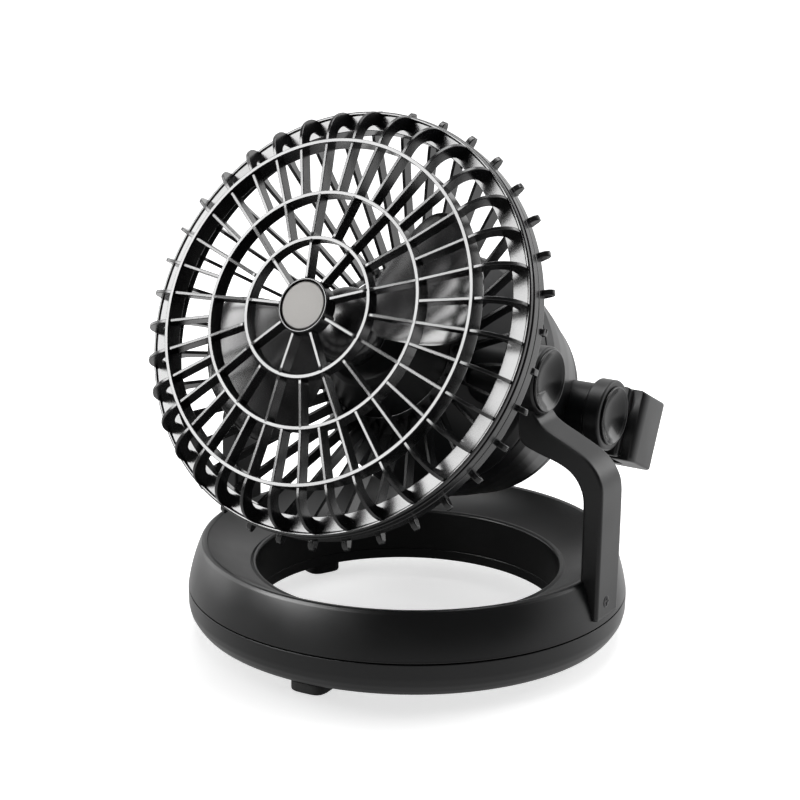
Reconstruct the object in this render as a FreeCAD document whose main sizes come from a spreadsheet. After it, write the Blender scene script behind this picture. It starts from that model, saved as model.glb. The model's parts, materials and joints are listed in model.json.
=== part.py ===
"""A battery camping fan: a caged two-blade fan head that tilts in a yoke on a ring lantern base.

Millimetres, +Z up, origin on the table under the middle of the ring. The fan faces -Y and the yoke's
pivots lie on a line along X. The head is drawn in a frame of its own, with the pivot at its origin and
the fan blowing along -Y, and is then turned up by its rest tilt and lifted onto the pivots.
"""
import FreeCAD
import Part
import Sketcher
import math
import os

from FreeCAD import Placement, Rotation, Vector

doc = FreeCAD.newDocument("camping_fan")
sheet = doc.addObject("Spreadsheet::Sheet", "Sizes")

SIZES = {
    "ring_radius": 95.0,
    "ring_foot_radius": "=ring_radius - 3.8",
    "crest_radius": "=ring_radius - 7.0",
    "crest_height": 40.2,
    "hole_radius": 65.6,
    "hole_height": 29.1,
    "seam_height": 19.9,
    "seam_gap": 0.3,
    "shell_wall": 2.4,
    "foot_height": 5.5,
    "foot_width": 16.0,
    "lens_thick": 2.0,
    "board_thick": 1.6,
    "led_radius": 2.5,
    "pivot_height": 119.0,
    "rest_tilt": 24.8,
    "arm_inner": "=ring_radius - 7.7",
    "arm_thick": 8.5,
    "arm_width": 16.0,
    "arm_foot_height": 24.0,
    "arm_bend_height": 72.0,
    "head_inner": 56.3,
    "head_thick": 9.4,
    "head_radius": 14.0,
    "cap_radius": 11.7,
    "cap_thick": 1.4,
    "pin_radius": 4.0,
    "pin_fit": 0.05,
    "fit": 0.3,
    "hub_radius": 10.9,
    "badge_radius": 9.9,
    "hub_front": 87.0,
    "first_ring_radius": 27.5,
    "first_ring_front": 84.4,
    "second_ring_radius": 46.8,
    "second_ring_front": 81.2,
    "third_ring_radius": 68.6,
    "third_ring_front": 79.6,
    "ring_blade": 1.5,
    "rib_blade": 1.4,
    "rib_depth": 5.5,
    "arch_middle_radius": 71.0,
    "arch_middle_depth": 65.2,
    "arch_radius": 14.0,
    "guard_collar": 16.0,
    "rim_radius": 86.3,
    "rim_inner": 78.0,
    "rim_face": 62.5,
    "rim_joint": 59.0,
    "rim_back": 54.0,
    "rim_lip": 3.0,
    "ribs_outer": 36,
    "housing_front": 38.0,
    "nose_radius": 20.5,
    "cone_end": -12.0,
    "cone_slope": 0.575,
    "drum_front": -20.0,
    "drum_front_radius": 53.0,
    "housing_joint": -22.0,
    "housing_back_radius": 46.6,
    "drum_side": -28.0,
    "drum_radius": 54.0,
    "housing_shoulder": -66.0,
    "housing_round": 12.0,
    "vents": 24,
    "vent_front": 10.0,
    "vent_length": 15.0,
    "vent_width": 2.4,
    "housing_back": -81.0,
    "housing_wall": 2.6,
    "cover_radius": 35.5,
    "cover_thick": 3.0,
    "handle_axis": 67.4,
    "barrel_radius": 12.8,
    "barrel_end": 58.0,
    "knuckle_radius": 15.6,
    "knuckle_outer": 66.4,
    "leg_outer": 70.0,
    "leg_inner": 58.5,
    "handle_end": 114.0,
    "handle_half_height": 15.8,
    "handle_bar": 8.0,
    "switch_height": 49.6,
    "switch_back": 51.0,
    "motor_radius": 14.0,
    "motor_length": 30.0,
    "motor_front": 34.0,
    "shaft_radius": 1.5,
    "rotor_radius": 64.0,
    "rotor_back": 48.0,
    "rotor_front": 65.0,
    "spinner_radius": 17.0,
    "blade_thick": 1.6,
    "cell_radius": 16.6,
    "cell_length": 60.0,
    "cell_spacing": 33.4,
}
for row, (name, value) in enumerate(SIZES.items(), start=1):
    sheet.set(f"A{row}", name)
    sheet.set(f"B{row}", str(value))
    sheet.setAlias(f"B{row}", name)
doc.recompute()


class Size:
    """A length from the sheet that keeps its formula, so that a drawn size can be bound to it."""

    def __init__(self, value, text):
        self.value = value
        self.text = text

    def _with(self, other, sign, swap=False):
        if not isinstance(other, Size):
            other = Size(float(other), repr(float(other)))
        first, second = (other, self) if swap else (self, other)
        text = f"({first.text} {sign} {second.text})"
        sums = {
            "+": lambda: first.value + second.value,
            "-": lambda: first.value - second.value,
            "*": lambda: first.value * second.value,
            "/": lambda: first.value / second.value,
        }
        return Size(sums[sign](), text)

    def __add__(self, other):
        return self._with(other, "+")

    def __radd__(self, other):
        return self._with(other, "+", swap=True)

    def __sub__(self, other):
        return self._with(other, "-")

    def __rsub__(self, other):
        return self._with(other, "-", swap=True)

    def __mul__(self, other):
        return self._with(other, "*")

    def __rmul__(self, other):
        return self._with(other, "*", swap=True)

    def __truediv__(self, other):
        return self._with(other, "/")

    def __neg__(self):
        return self._with(-1.0, "*")

    def __float__(self):
        return float(self.value)


class Sheet:
    """Every named size as an attribute."""

    def __getattr__(self, name):
        return Size(float(sheet.get(name)), f"Sizes.{name}")


class Numbers:
    """Every named size as a plain number, for shapes that are worked out here."""

    def __getattr__(self, name):
        return float(sheet.get(name))


dims = Sheet()
mm = Numbers()
ABOUT_X = Vector(1, 0, 0)
ABOUT_Y = Vector(0, 1, 0)
ABOUT_Z = Vector(0, 0, 1)
parts = []


def head_place():
    """Where the head's own frame stands: on the pivots, turned up by the rest tilt."""
    return Placement(Vector(0, 0, mm.pivot_height), Rotation(ABOUT_X, -mm.rest_tilt))


def keep(item, label, in_head=False):
    """Name a finished sub-part, put it in its place and list it for writing."""
    item.Label = label
    if in_head:
        item.Placement = head_place().multiply(item.Placement)
    parts.append(item)
    return item


def origin_plane(body, role):
    return next(plane for plane in body.Origin.OriginFeatures if plane.Role == role)


def bind(item, **sizes):
    """Set an object's sizes, each bound to the sheet where it comes from there."""
    for name, size in sizes.items():
        setattr(item, name, float(size))
        if isinstance(size, Size):
            item.setExpression(name, size.text)


def outline(body, role, points):
    """A closed sketch of straight sides; a point may carry a radius, which bends the side before it."""
    sketch = body.newObject("Sketcher::SketchObject", body.Name + "_outline")
    sketch.AttachmentSupport = (origin_plane(body, role), [""])
    sketch.MapMode = "FlatFace"
    spots = [Vector(float(point[0]), float(point[1]), 0) for point in points]
    ends = []
    for index, spot in enumerate(spots):
        before = spots[index - 1]
        side = Part.LineSegment(before, spot)
        if len(points[index]) == 3:
            bulge = float(points[index][2])
            chord = spot - before
            across = Vector(-chord.y, chord.x, 0).normalize() * math.copysign(1, bulge)
            reach = math.sqrt(max(bulge ** 2 - chord.Length ** 2 / 4, 0))
            centre = (before + spot) * 0.5 + across * reach
            top = centre - across * abs(bulge)
            side = Part.Arc(before, top, spot) if bulge > 0 else Part.Arc(spot, top, before)
        sketch.addGeometry(side, False)
        forward = sketch.Geometry[-1].StartPoint.isEqual(before, 1e-6)
        ends.append((1, 2) if forward else (2, 1))
    for index in range(len(spots)):
        following = (index + 1) % len(spots)
        sketch.addConstraint(
            Sketcher.Constraint("Coincident", index, ends[index][1], following, ends[following][0]))
    for index, point in enumerate(points):
        for kind, size in (("DistanceX", point[0]), ("DistanceY", point[1])):
            number = sketch.addConstraint(
                Sketcher.Constraint(kind, -1, 1, index, ends[index][1], float(size)))
            if isinstance(size, Size):
                sketch.setExpression(f"Constraints[{number}]", size.text)
        if len(point) == 3:
            sketch.addConstraint(Sketcher.Constraint("Radius", index, abs(float(point[2]))))
    return sketch


def turned(label, points, in_head=False, kept=True):
    """A body of revolution: about Z from (radius, height) points, or about the fan's axis in the head."""
    body = doc.addObject("PartDesign::Body", label)
    sketch = outline(body, "XY_Plane" if in_head else "XZ_Plane", points)
    turn = body.newObject("PartDesign::Revolution", label + "_turn")
    turn.Profile = sketch
    turn.ReferenceAxis = (sketch, ["V_Axis"])
    turn.Angle = 360.0
    return keep(body, label, in_head) if kept else body


def bar_along_fan(name, radius, length, x, front, z=0.0):
    """A cylinder along the fan's axis in the head's frame, whose front face is at that depth."""
    item = doc.addObject("Part::Cylinder", name)
    bind(item, Radius=radius, Height=length)
    item.Placement = Placement(Vector(float(x), -float(front), z), Rotation(ABOUT_X, -90))
    return item


def shape(label, solid, in_head=False):
    """A sub-part worked out directly from the sheet's values."""
    item = doc.addObject("Part::Feature", label)
    item.Shape = solid
    return keep(item, label, in_head)


def face_of(points):
    """A flat face in the XY plane from corners, where a triple (through, to) pair marks an arc."""
    edges = []
    here = Vector(*points[0], 0)
    for step in points[1:] + [points[0]]:
        if len(step) == 4:
            through = Vector(step[0], step[1], 0)
            there = Vector(step[2], step[3], 0)
            edges.append(Part.Arc(here, through, there).toShape())
        else:
            there = Vector(step[0], step[1], 0)
            edges.append(Part.makeLine(here, there))
        here = there
    return Part.Face(Part.Wire(edges))


def around_fan(solid, angle):
    """A copy turned about the fan's axis, from +X up towards the head's top."""
    copy = solid.copy()
    copy.rotate(Vector(0, 0, 0), ABOUT_Y, -angle)
    return copy


def one_of(solids):
    """Several overlapping solids as one."""
    return solids[0].fuse(solids[1:]).removeSplitter()


FIRST_RIB = 1.1
HUB_RIB = FIRST_RIB + 20
FEET_FROM = -85.0


def arm_blade(name, side):
    """One yoke arm: an upright strip that leans in over the ring and ends in a round eye."""
    inner = mm.arm_inner
    outer = inner + mm.arm_thick
    eye_in = mm.head_inner
    eye_out = eye_in + mm.head_thick
    top = mm.pivot_height
    low = mm.arm_foot_height
    bend = mm.arm_bend_height
    points = [
        (outer, low), (outer, bend + 5.5),
        (outer - 2.6, bend + 14.2, outer - 9.4, bend + 20.8),
        (eye_out + 6.5, bend + 27.4),
        (eye_out + 1.6, bend + 29.0, eye_out, bend + 32.5),
        (eye_out, top), (eye_in, top), (eye_in, bend + 26),
        (eye_in + 1.2, bend + 21.8, eye_in + 5.5, bend + 19.6),
        (inner - 11, bend + 15.8),
        (inner - 3.0, bend + 10.6, inner, bend),
        (inner, low),
    ]
    strip = face_of(points).extrude(Vector(0, 0, mm.arm_width))
    strip.translate(Vector(0, 0, -mm.arm_width / 2))
    strip.rotate(Vector(0, 0, 0), ABOUT_X, 90)
    pivot = Vector(eye_in, 0, top)
    eye = Part.makeCylinder(mm.head_radius, mm.head_thick, pivot, ABOUT_X)
    blade = one_of([strip, eye])
    seat = mm.cap_radius + mm.fit
    recess = Vector(eye_out - mm.cap_thick - 0.6, 0, top)
    blade = blade.cut(Part.makeCylinder(seat, 10, recess, ABOUT_X))
    blade = blade.cut(Part.makeCylinder(mm.pin_radius, 30, pivot - Vector(5, 0, 0), ABOUT_X))
    blade = blade.cut(screw_shape(inner, outer, mm.fit / 3))
    if side < 0:
        blade = blade.mirror(Vector(0, 0, 0), ABOUT_X)
    return shape(name, blade)


def screw_shape(inner, outer, spare):
    """A countersunk screw that holds an arm's foot to the ring, head outwards."""
    height = mm.arm_foot_height + 6.5
    head = Part.makeCylinder(2.6 + spare, 1.6, Vector(outer - 1.6, 0, height), ABOUT_X)
    shank = Part.makeCylinder(1.5 + spare, outer - inner + 5, Vector(inner - 5, 0, height), ABOUT_X)
    return head.fuse(shank)


def pocket(clearance, floor_drop):
    """The space that an arm's foot takes in the ring, or the solid block round it."""
    half = mm.arm_width / 2 + clearance
    inner = mm.arm_inner - clearance
    low = mm.arm_foot_height - clearance - floor_drop
    return Part.makeBox(30, 2 * half, 60, Vector(inner, -half, low))


def make_ring():
    wall = dims.shell_wall
    r_out, r_in = dims.ring_radius, dims.hole_radius
    seam, crest = dims.seam_height, dims.crest_height
    upper = turned("upper_shell_blank", [
        (r_out, seam + dims.seam_gap), (r_out, crest - 13),
        (dims.crest_radius, crest, 13.5), (r_in + 4, dims.hole_height - 0.6),
        (r_in + 3, dims.hole_height + 0.6),
        (r_in, dims.hole_height), (r_in + 0.6, dims.foot_height + 5),
        (r_in + 0.6 + wall, dims.foot_height + 5), (r_in + 0.3 + wall, dims.hole_height - 3.2),
        (dims.crest_radius - 2, crest - wall - 1), (r_out - wall, crest - 14.5, -11.5),
        (r_out - wall, seam + dims.seam_gap),
    ], kept=False)
    doc.recompute()
    outer_shape = face_of([
        (float(r_in) + 5, float(seam) + 1), (float(r_out), float(seam) + 1),
        (float(r_out), float(crest) - 13),
        (mm.crest_radius, float(crest) - 0.2), (float(r_in) + 5, mm.hole_height),
    ])
    outer_shape.rotate(Vector(0, 0, 0), ABOUT_X, 90)
    envelope = outer_shape.revolve(Vector(0, 0, 0), ABOUT_Z, 360)
    shell = upper.Shape
    for turn in (0, 180):
        block = pocket(2.2, 0).common(envelope)
        space = pocket(mm.fit, 0)
        screw = screw_shape(mm.arm_inner, mm.arm_inner + mm.arm_thick, 0)
        boss = Part.makeBox(6.5, 9, 9, Vector(mm.arm_inner - 7.5, -4.5, mm.arm_foot_height + 2))
        notch = Part.makeBox(7, 3.2, 20, Vector(73.5, 5.4, mm.hole_height - 0.6))
        for solid in (block, space, screw, boss, notch):
            solid.rotate(Vector(0, 0, 0), ABOUT_Z, turn)
        shell = shell.fuse([block, boss]).cut(space).cut(screw).cut(notch)
    shape("ring_upper_shell", shell.removeSplitter())

    low = dims.foot_height
    turned("ring_lower_shell", [
        (r_out, seam), (r_out - 0.2, seam - 7), (dims.ring_foot_radius + 1.6, low + 2.6, -16.0),
        (dims.ring_foot_radius - 1, low), (dims.ring_foot_radius - 5, low),
        (dims.ring_foot_radius - 5, low + 1), (dims.ring_foot_radius - 3, low + 1),
        (dims.ring_foot_radius - 3, low + 9), (r_out - 5, low + 10.4),
        (r_out - wall - 0.3, low + 10.4), (r_out - wall - 0.3, seam),
    ])
    turned("ring_inner_collar", [
        (r_in + 1.2, low), (r_in + 6, low), (r_in + 6, low + 1), (r_in + 4, low + 1), (r_in + 4, low + 9),
        (r_in + 6, low + 9), (r_in + 6, low + 10.4), (r_in + wall + 1.2, low + 10.4),
        (r_in + wall + 1.2, seam - 2), (r_in + 0.9 + wall, seam - 2), (r_in + 0.9 + wall, low + 4.7),
        (r_in + 1.2, low + 4.7),
    ])
    lens_in, lens_out = r_in + 4.3, dims.ring_foot_radius - 3.3
    turned("ring_lens", [
        (lens_in, low + 1.3), (lens_out, low + 1.3),
        (lens_out, low + 1.3 + dims.lens_thick), (lens_in, low + 1.3 + dims.lens_thick),
    ])
    board_low = low + 10.4
    turned("led_board", [
        (r_in + 4.2, board_low), (r_out - 4.5, board_low),
        (r_out - 4.5, board_low + dims.board_thick), (r_in + 4.2, board_low + dims.board_thick),
    ])
    lamps = []
    middle = (float(lens_in) + float(lens_out)) / 2
    for number in range(18):
        angle = math.radians(20 * number + 10)
        spot = Vector(middle * math.cos(angle), middle * math.sin(angle), float(board_low) - 4.2)
        body = Part.makeCylinder(mm.led_radius, 4.2, spot)
        lamps.append(body.fuse(Part.makeSphere(mm.led_radius, spot)))
    shape("ring_leds", Part.makeCompound(lamps))
    feet = []
    for turn in range(3):
        length = mm.ring_foot_radius - 2 - float(r_in) - 3
        pad = Part.makeBox(length, mm.foot_width, mm.foot_height,
                           Vector(float(r_in) + 3, -mm.foot_width / 2, 0))
        pad = pad.makeFillet(5, [edge for edge in pad.Edges if edge.BoundBox.ZLength > 3])
        pad.rotate(Vector(0, 0, 0), ABOUT_Z, FEET_FROM + 120 * turn)
        feet.append(pad)
    shape("ring_feet", Part.makeCompound(feet))


def make_yoke():
    arm_blade("yoke_arm_right", 1)
    arm_blade("yoke_arm_left", -1)
    inner = mm.arm_inner
    outer = inner + mm.arm_thick
    screws, caps, pins = [], [], []
    for side in (1, -1):
        screws.append(screw_shape(inner, outer, 0))
        eye_out = mm.head_inner + mm.head_thick
        height = mm.pivot_height
        caps.append(Part.makeCylinder(mm.cap_radius, mm.cap_thick,
                                      Vector(eye_out - mm.cap_thick - 0.6, 0, height), ABOUT_X))
        pins.append(Part.makeCylinder(mm.pin_radius, eye_out - 2.0 - 47,
                                      Vector(47, 0, height), ABOUT_X))
        if side < 0:
            for row in (screws, caps, pins):
                row[-1] = row[-1].mirror(Vector(0, 0, 0), ABOUT_X)
    shape("yoke_screws", Part.makeCompound(screws))
    shape("pivot_caps", Part.makeCompound(caps))
    shape("pivot_pins", Part.makeCompound(pins))


def rib_face(stations, depth):
    """A rib's outline in (radius, -depth): its front edge through the stations and back again behind it."""
    front = [(radius, -front) for radius, front in stations]
    back = [(radius, -front + depth) for radius, front in reversed(stations)]
    return face_of(front + back)


def arch_face():
    """The outer end of a rib: a half round arch from the third ring out and back to the rim."""
    radius = mm.arch_radius
    inner = radius - mm.rib_depth
    x, y = mm.arch_middle_radius, -mm.arch_middle_depth
    third = mm.third_ring_radius
    rim = -mm.rim_joint - 0.3
    reach = math.sqrt(radius ** 2 - (rim - y) ** 2)
    reach_in = math.sqrt(inner ** 2 - (rim - y) ** 2)
    half = math.sqrt(0.5)
    return face_of([
        (third - 0.5, y - radius), (x, y - radius),
        (x + radius * half, y - radius * half, x + radius, y),
        (x + radius * math.cos(0.22), y + radius * math.sin(0.22), x + reach, rim),
        (x + reach_in, rim),
        (x + inner * half, y - inner * half, x, y - inner),
        (third - 0.5, y - inner),
    ])


def blades(face, thickness, angles):
    solid = face.extrude(Vector(0, 0, thickness))
    solid.translate(Vector(0, 0, -thickness / 2))
    return [around_fan(solid, angle) for angle in angles]


def ring_blade(radius, front, depth, width):
    outer = Part.makeCylinder(radius + width / 2, depth, Vector(0, -front, 0), ABOUT_Y)
    return outer.cut(Part.makeCylinder(radius - width / 2, depth, Vector(0, -front, 0), ABOUT_Y))


def turned_face(points):
    face = face_of([(radius, -depth) for radius, depth in points])
    return face.revolve(Vector(0, 0, 0), ABOUT_Y, 360)


def make_front_grille():
    thick = mm.rib_blade
    depth = mm.rib_depth
    hub = (mm.hub_radius - 0.6, mm.hub_front - 0.6)
    first = (mm.first_ring_radius, mm.first_ring_front)
    second = (mm.second_ring_radius, mm.second_ring_front)
    third = (mm.third_ring_radius, mm.third_ring_front - 0.4)
    count = int(mm.ribs_outer)
    step = 360.0 / count
    hub_angles = [HUB_RIB + 4 * step * k for k in range(count // 4)]
    inner_ribs = blades(rib_face([hub, first], depth), thick, hub_angles)
    middle_ribs = blades(rib_face([first, second], depth), thick,
                         [FIRST_RIB + 2 * step * k for k in range(count // 2)])
    all_angles = [FIRST_RIB + step * k for k in range(count)]
    outer_ribs = blades(rib_face([second, third], depth), thick, all_angles)
    arches = blades(arch_face(), thick, [FIRST_RIB + step * k for k in range(count)])
    width = mm.ring_blade
    rings = [
        ring_blade(first[0], first[1] + 0.2, depth, width),
        ring_blade(second[0], second[1] + 0.2, depth + 1.5, width),
        ring_blade(third[0], third[1] + 0.6, depth + 3.0, width),
    ]
    front = mm.hub_front
    cup = turned_face([
        (0, front - 2.4), (mm.badge_radius + 0.15, front - 2.4), (mm.badge_radius + 0.15, front),
        (mm.hub_radius, front), (mm.hub_radius, front - depth - 1), (0, front - depth - 1),
    ])
    rim = turned_face([
        (mm.rim_inner, mm.rim_face), (mm.rim_radius - 1.6, mm.rim_face),
        (mm.rim_radius - 1.6, mm.rim_face + mm.rim_lip),
        (mm.rim_radius, mm.rim_face + mm.rim_lip),
        (mm.rim_radius, mm.rim_joint + 0.2), (mm.rim_inner, mm.rim_joint + 0.2),
    ])
    ribs = inner_ribs + middle_ribs + outer_ribs
    shape("front_grille", one_of([rim, cup] + rings + ribs + arches), True)
    bar = bar_along_fan("hub_badge", dims.badge_radius, 2.0, 0, front - 0.3)
    keep(bar, "hub_badge", True)


def make_rear_grille():
    thick = mm.rib_blade
    count = int(mm.ribs_outer)
    joint, back = mm.rim_joint, mm.rim_back
    flange = turned_face([
        (mm.rim_inner + 1.5, joint), (mm.rim_radius, joint), (mm.rim_radius, back),
        (mm.rim_inner + 1.5, back),
    ])
    low, high = mm.guard_collar, mm.guard_collar + 6
    fit = mm.fit
    collar = turned_face([
        (cone_radius(high) + fit, high), (cone_radius(high) + 4, high), (cone_radius(low) + 3.4, low),
        (cone_radius(low) + fit, low),
    ])
    face = face_of([(cone_radius(high) + 2, -high), (57.0, -40.6), (77.0, -55.5), (80.5, -57.5),
                    (85.0, -54.2),
                    (84.2, -51.0), (78.5, -49.8), (58.5, -36.2), (cone_radius(low) + 2, -low)])
    ribs = blades(face, thick, [FIRST_RIB + 5 + 360.0 / count * k for k in range(count)])
    shape("rear_grille", one_of([flange, collar] + ribs), True)


def cone_radius(depth):
    """The radius of the casing's cone at that depth."""
    return mm.nose_radius + (mm.housing_front - depth) * mm.cone_slope


def casing(shift, front, back):
    """The head's casing as one solid, its wall moved in by a shift: nose, cone, tapered drum, round back."""
    back_radius, shoulder = mm.housing_back_radius, mm.housing_shoulder
    fillet = mm.housing_round
    end = back + fillet
    half = math.sqrt(0.5)
    cone_end = mm.cone_end
    section = face_of([
        (0, -front), (cone_radius(front) - shift, -front), (cone_radius(cone_end) - shift, -cone_end),
        (mm.drum_front_radius - shift, -mm.drum_front),
        (mm.drum_radius - shift, -mm.drum_side), (back_radius - shift, -shoulder),
        (back_radius - shift - 0.8, -end),
        (back_radius - shift - 0.8 - fillet * (1 - half), -end + fillet * half,
         back_radius - shift - 0.8 - fillet, -back),
        (0, -back),
    ])
    return section.revolve(Vector(0, 0, 0), ABOUT_Y, 360)


def slab(front, back):
    """All the space between two depths."""
    return Part.makeCylinder(90, front - back, Vector(0, -front, 0), ABOUT_Y)


def bores(depth, start, radius, length):
    """A round bar on each side, along X from a start outwards, at a depth from the pivot."""
    return [Part.makeCylinder(radius, length, Vector(side * start, -depth, 0), ABOUT_X * side)
            for side in (1, -1)]


def trunnions(radius, reach, depth):
    """Round bosses on both sides of the casing, rooted inside its wall."""
    root = 30
    return bores(depth, root, radius, reach - root)


def make_housing():
    wall = mm.housing_wall
    joint = mm.housing_joint
    face = mm.head_inner - mm.fit
    front_in = mm.housing_front - 3.0
    back_end = mm.housing_back
    outside = casing(0, mm.housing_front, back_end)
    inside = casing(wall, front_in, back_end + 3.0)
    flat = Part.makeBox(2 * face, 400, 400, Vector(-face, -200, -200))
    front = outside.common(slab(mm.housing_front, joint + 0.15)).common(flat).cut(inside)
    for number in range(int(mm.vents)):
        angle = 360.0 / mm.vents * (number + 0.5)
        if abs(math.sin(math.radians(angle))) > 0.55:
            slot = Part.makeBox(22, mm.vent_length, mm.vent_width,
                                Vector(30, -mm.vent_front, -mm.vent_width / 2))
            front = front.cut(around_fan(slot, angle))
    boss = [piece.common(flat) for piece in trunnions(mm.head_radius, face, 0.0)]
    boss = [piece.cut(Part.makeCylinder(34, 60, Vector(0, -30, 0), ABOUT_Y)) for piece in boss]
    front = front.fuse(boss)
    for bore in bores(0.0, 46.5, mm.pin_radius + mm.pin_fit, 20):
        front = front.cut(bore)
    front = front.cut(Part.makeCylinder(8.5, 40, Vector(0, -60, 0), ABOUT_Y))
    shape("motor_housing", front.removeSplitter(), True)

    rear = outside.common(slab(joint - 0.15, back_end)).cut(inside)
    barrels = [piece.cut(Part.makeCylinder(40, 60, Vector(0, 40, 0), ABOUT_Y))
               for piece in trunnions(mm.barrel_radius, mm.barrel_end, -mm.handle_axis)]
    rear = rear.fuse(barrels)
    for bore in bores(-mm.handle_axis, 44.0, mm.pin_radius + mm.pin_fit, 20):
        rear = rear.cut(bore)
    opening = Part.makeCylinder(mm.cover_radius + mm.fit, 30, Vector(0, 70, 0), ABOUT_Y)
    ledge_in = mm.cover_radius - 1.7
    ledge = turned_face([(ledge_in, -75.6), (42, -75.6), (40, -78.4), (ledge_in, -77.7)])
    rear = rear.cut(opening).fuse(ledge)
    seat = Part.makeBox(40, 22, 6, Vector(-20, mm.switch_back - 22, mm.switch_height))
    window = Part.makeBox(34, 16, 30, Vector(-17, mm.switch_back - 19, mm.switch_height - 12))
    rear = rear.cut(seat).cut(window)
    shape("battery_housing", rear.removeSplitter(), True)
    cover = Part.makeCylinder(mm.cover_radius, mm.cover_thick,
                              Vector(0, -mm.housing_back - mm.cover_thick, 0), ABOUT_Y)
    slot = Part.makeBox(26, 2, 4, Vector(-13, -mm.housing_back - 1.4, -2))
    shape("battery_cover", cover.cut(slot), True)


def make_inside():
    depth = mm.motor_front
    motor = Part.makeCylinder(mm.motor_radius, mm.motor_length, Vector(0, -depth, 0), ABOUT_Y)
    nose = Part.makeCylinder(5.0, 3.0, Vector(0, -depth - 3, 0), ABOUT_Y)
    can = motor.fuse(nose).cut(Part.makeCylinder(mm.shaft_radius + 0.05, 74, Vector(0, -80, 0), ABOUT_Y))
    shape("motor_can", can, True)
    plate = Part.makeCylinder(cone_radius(depth - 6) - mm.housing_wall - mm.fit, 2.5,
                              Vector(0, -depth + 6, 0), ABOUT_Y)
    plate = plate.cut(Part.makeCylinder(mm.motor_radius + 0.2, 10, Vector(0, -depth, 0), ABOUT_Y))
    shape("motor_plate", plate, True)
    shaft = Part.makeCylinder(mm.shaft_radius, 50, Vector(0, -mm.rotor_front + 6, 0), ABOUT_Y)
    shape("motor_shaft", shaft, True)
    cells = []
    front = -19.0
    for side in (1, -1):
        where = Vector(side * mm.cell_spacing / 2, -front, 0)
        cell = Part.makeCylinder(mm.cell_radius, mm.cell_length - 2, where, ABOUT_Y)
        knob = Part.makeCylinder(4.5, 2, where - Vector(0, 2, 0), ABOUT_Y)
        cells.append(cell.fuse(knob))
    shape("battery_cells", Part.makeCompound(cells), True)
    tray_radius = cone_radius(mm.cone_end) - mm.housing_wall - 1.0
    tray = Part.makeCylinder(tray_radius, 2, Vector(0, -front - 4.7, 0), ABOUT_Y)
    tray = tray.fuse(Part.makeBox(78, 48, 2, Vector(-39, -front - 2.7, -mm.cell_radius - 2.4)))
    shape("battery_tray", tray, True)
    strips = [Part.makeBox(12, 0.5, 12, Vector(side * mm.cell_spacing / 2 - 6, -front - 2.7, -6))
              for side in (1, -1)]
    shape("battery_contacts", Part.makeCompound(strips), True)


def make_rotor():
    radius = mm.spinner_radius
    back, front = mm.rotor_back, mm.rotor_front
    nose = face_of([(0, -back), (radius, -back), (radius, -back - 7),
                    (radius * 0.72, -front + 2.6, 0, -front)])
    spinner = nose.revolve(Vector(0, 0, 0), ABOUT_Y, 360)
    solids = [spinner]
    for turn in (32, 212):
        wires = []
        for reach, width, pitch in ((radius - 4, 20, 38), (40, 50, 21), (mm.rotor_radius - 3, 62, 13)):
            half, thick = width / 2, mm.blade_thick / 2
            places = ((-thick, -half), (-thick, half), (thick, half), (thick, -half))
            corners = [Vector(reach, y, z) for y, z in places]
            wire = Part.makePolygon(corners + corners[:1])
            wire.rotate(Vector(0, 0, 0), ABOUT_X, -pitch)
            wire.translate(Vector(0, -(back + 7.5), 0))
            wires.append(wire)
        blade = Part.makeLoft(wires, True, True)
        blade = blade.common(Part.makeCylinder(mm.rotor_radius, 60, Vector(0, -90, 0), ABOUT_Y))
        solids.append(around_fan(blade, turn))
    rotor = one_of(solids)
    rotor = rotor.cut(Part.makeCylinder(mm.shaft_radius, 60, Vector(0, -mm.rotor_front + 6, 0), ABOUT_Y))
    shape("impeller", rotor, True)


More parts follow.
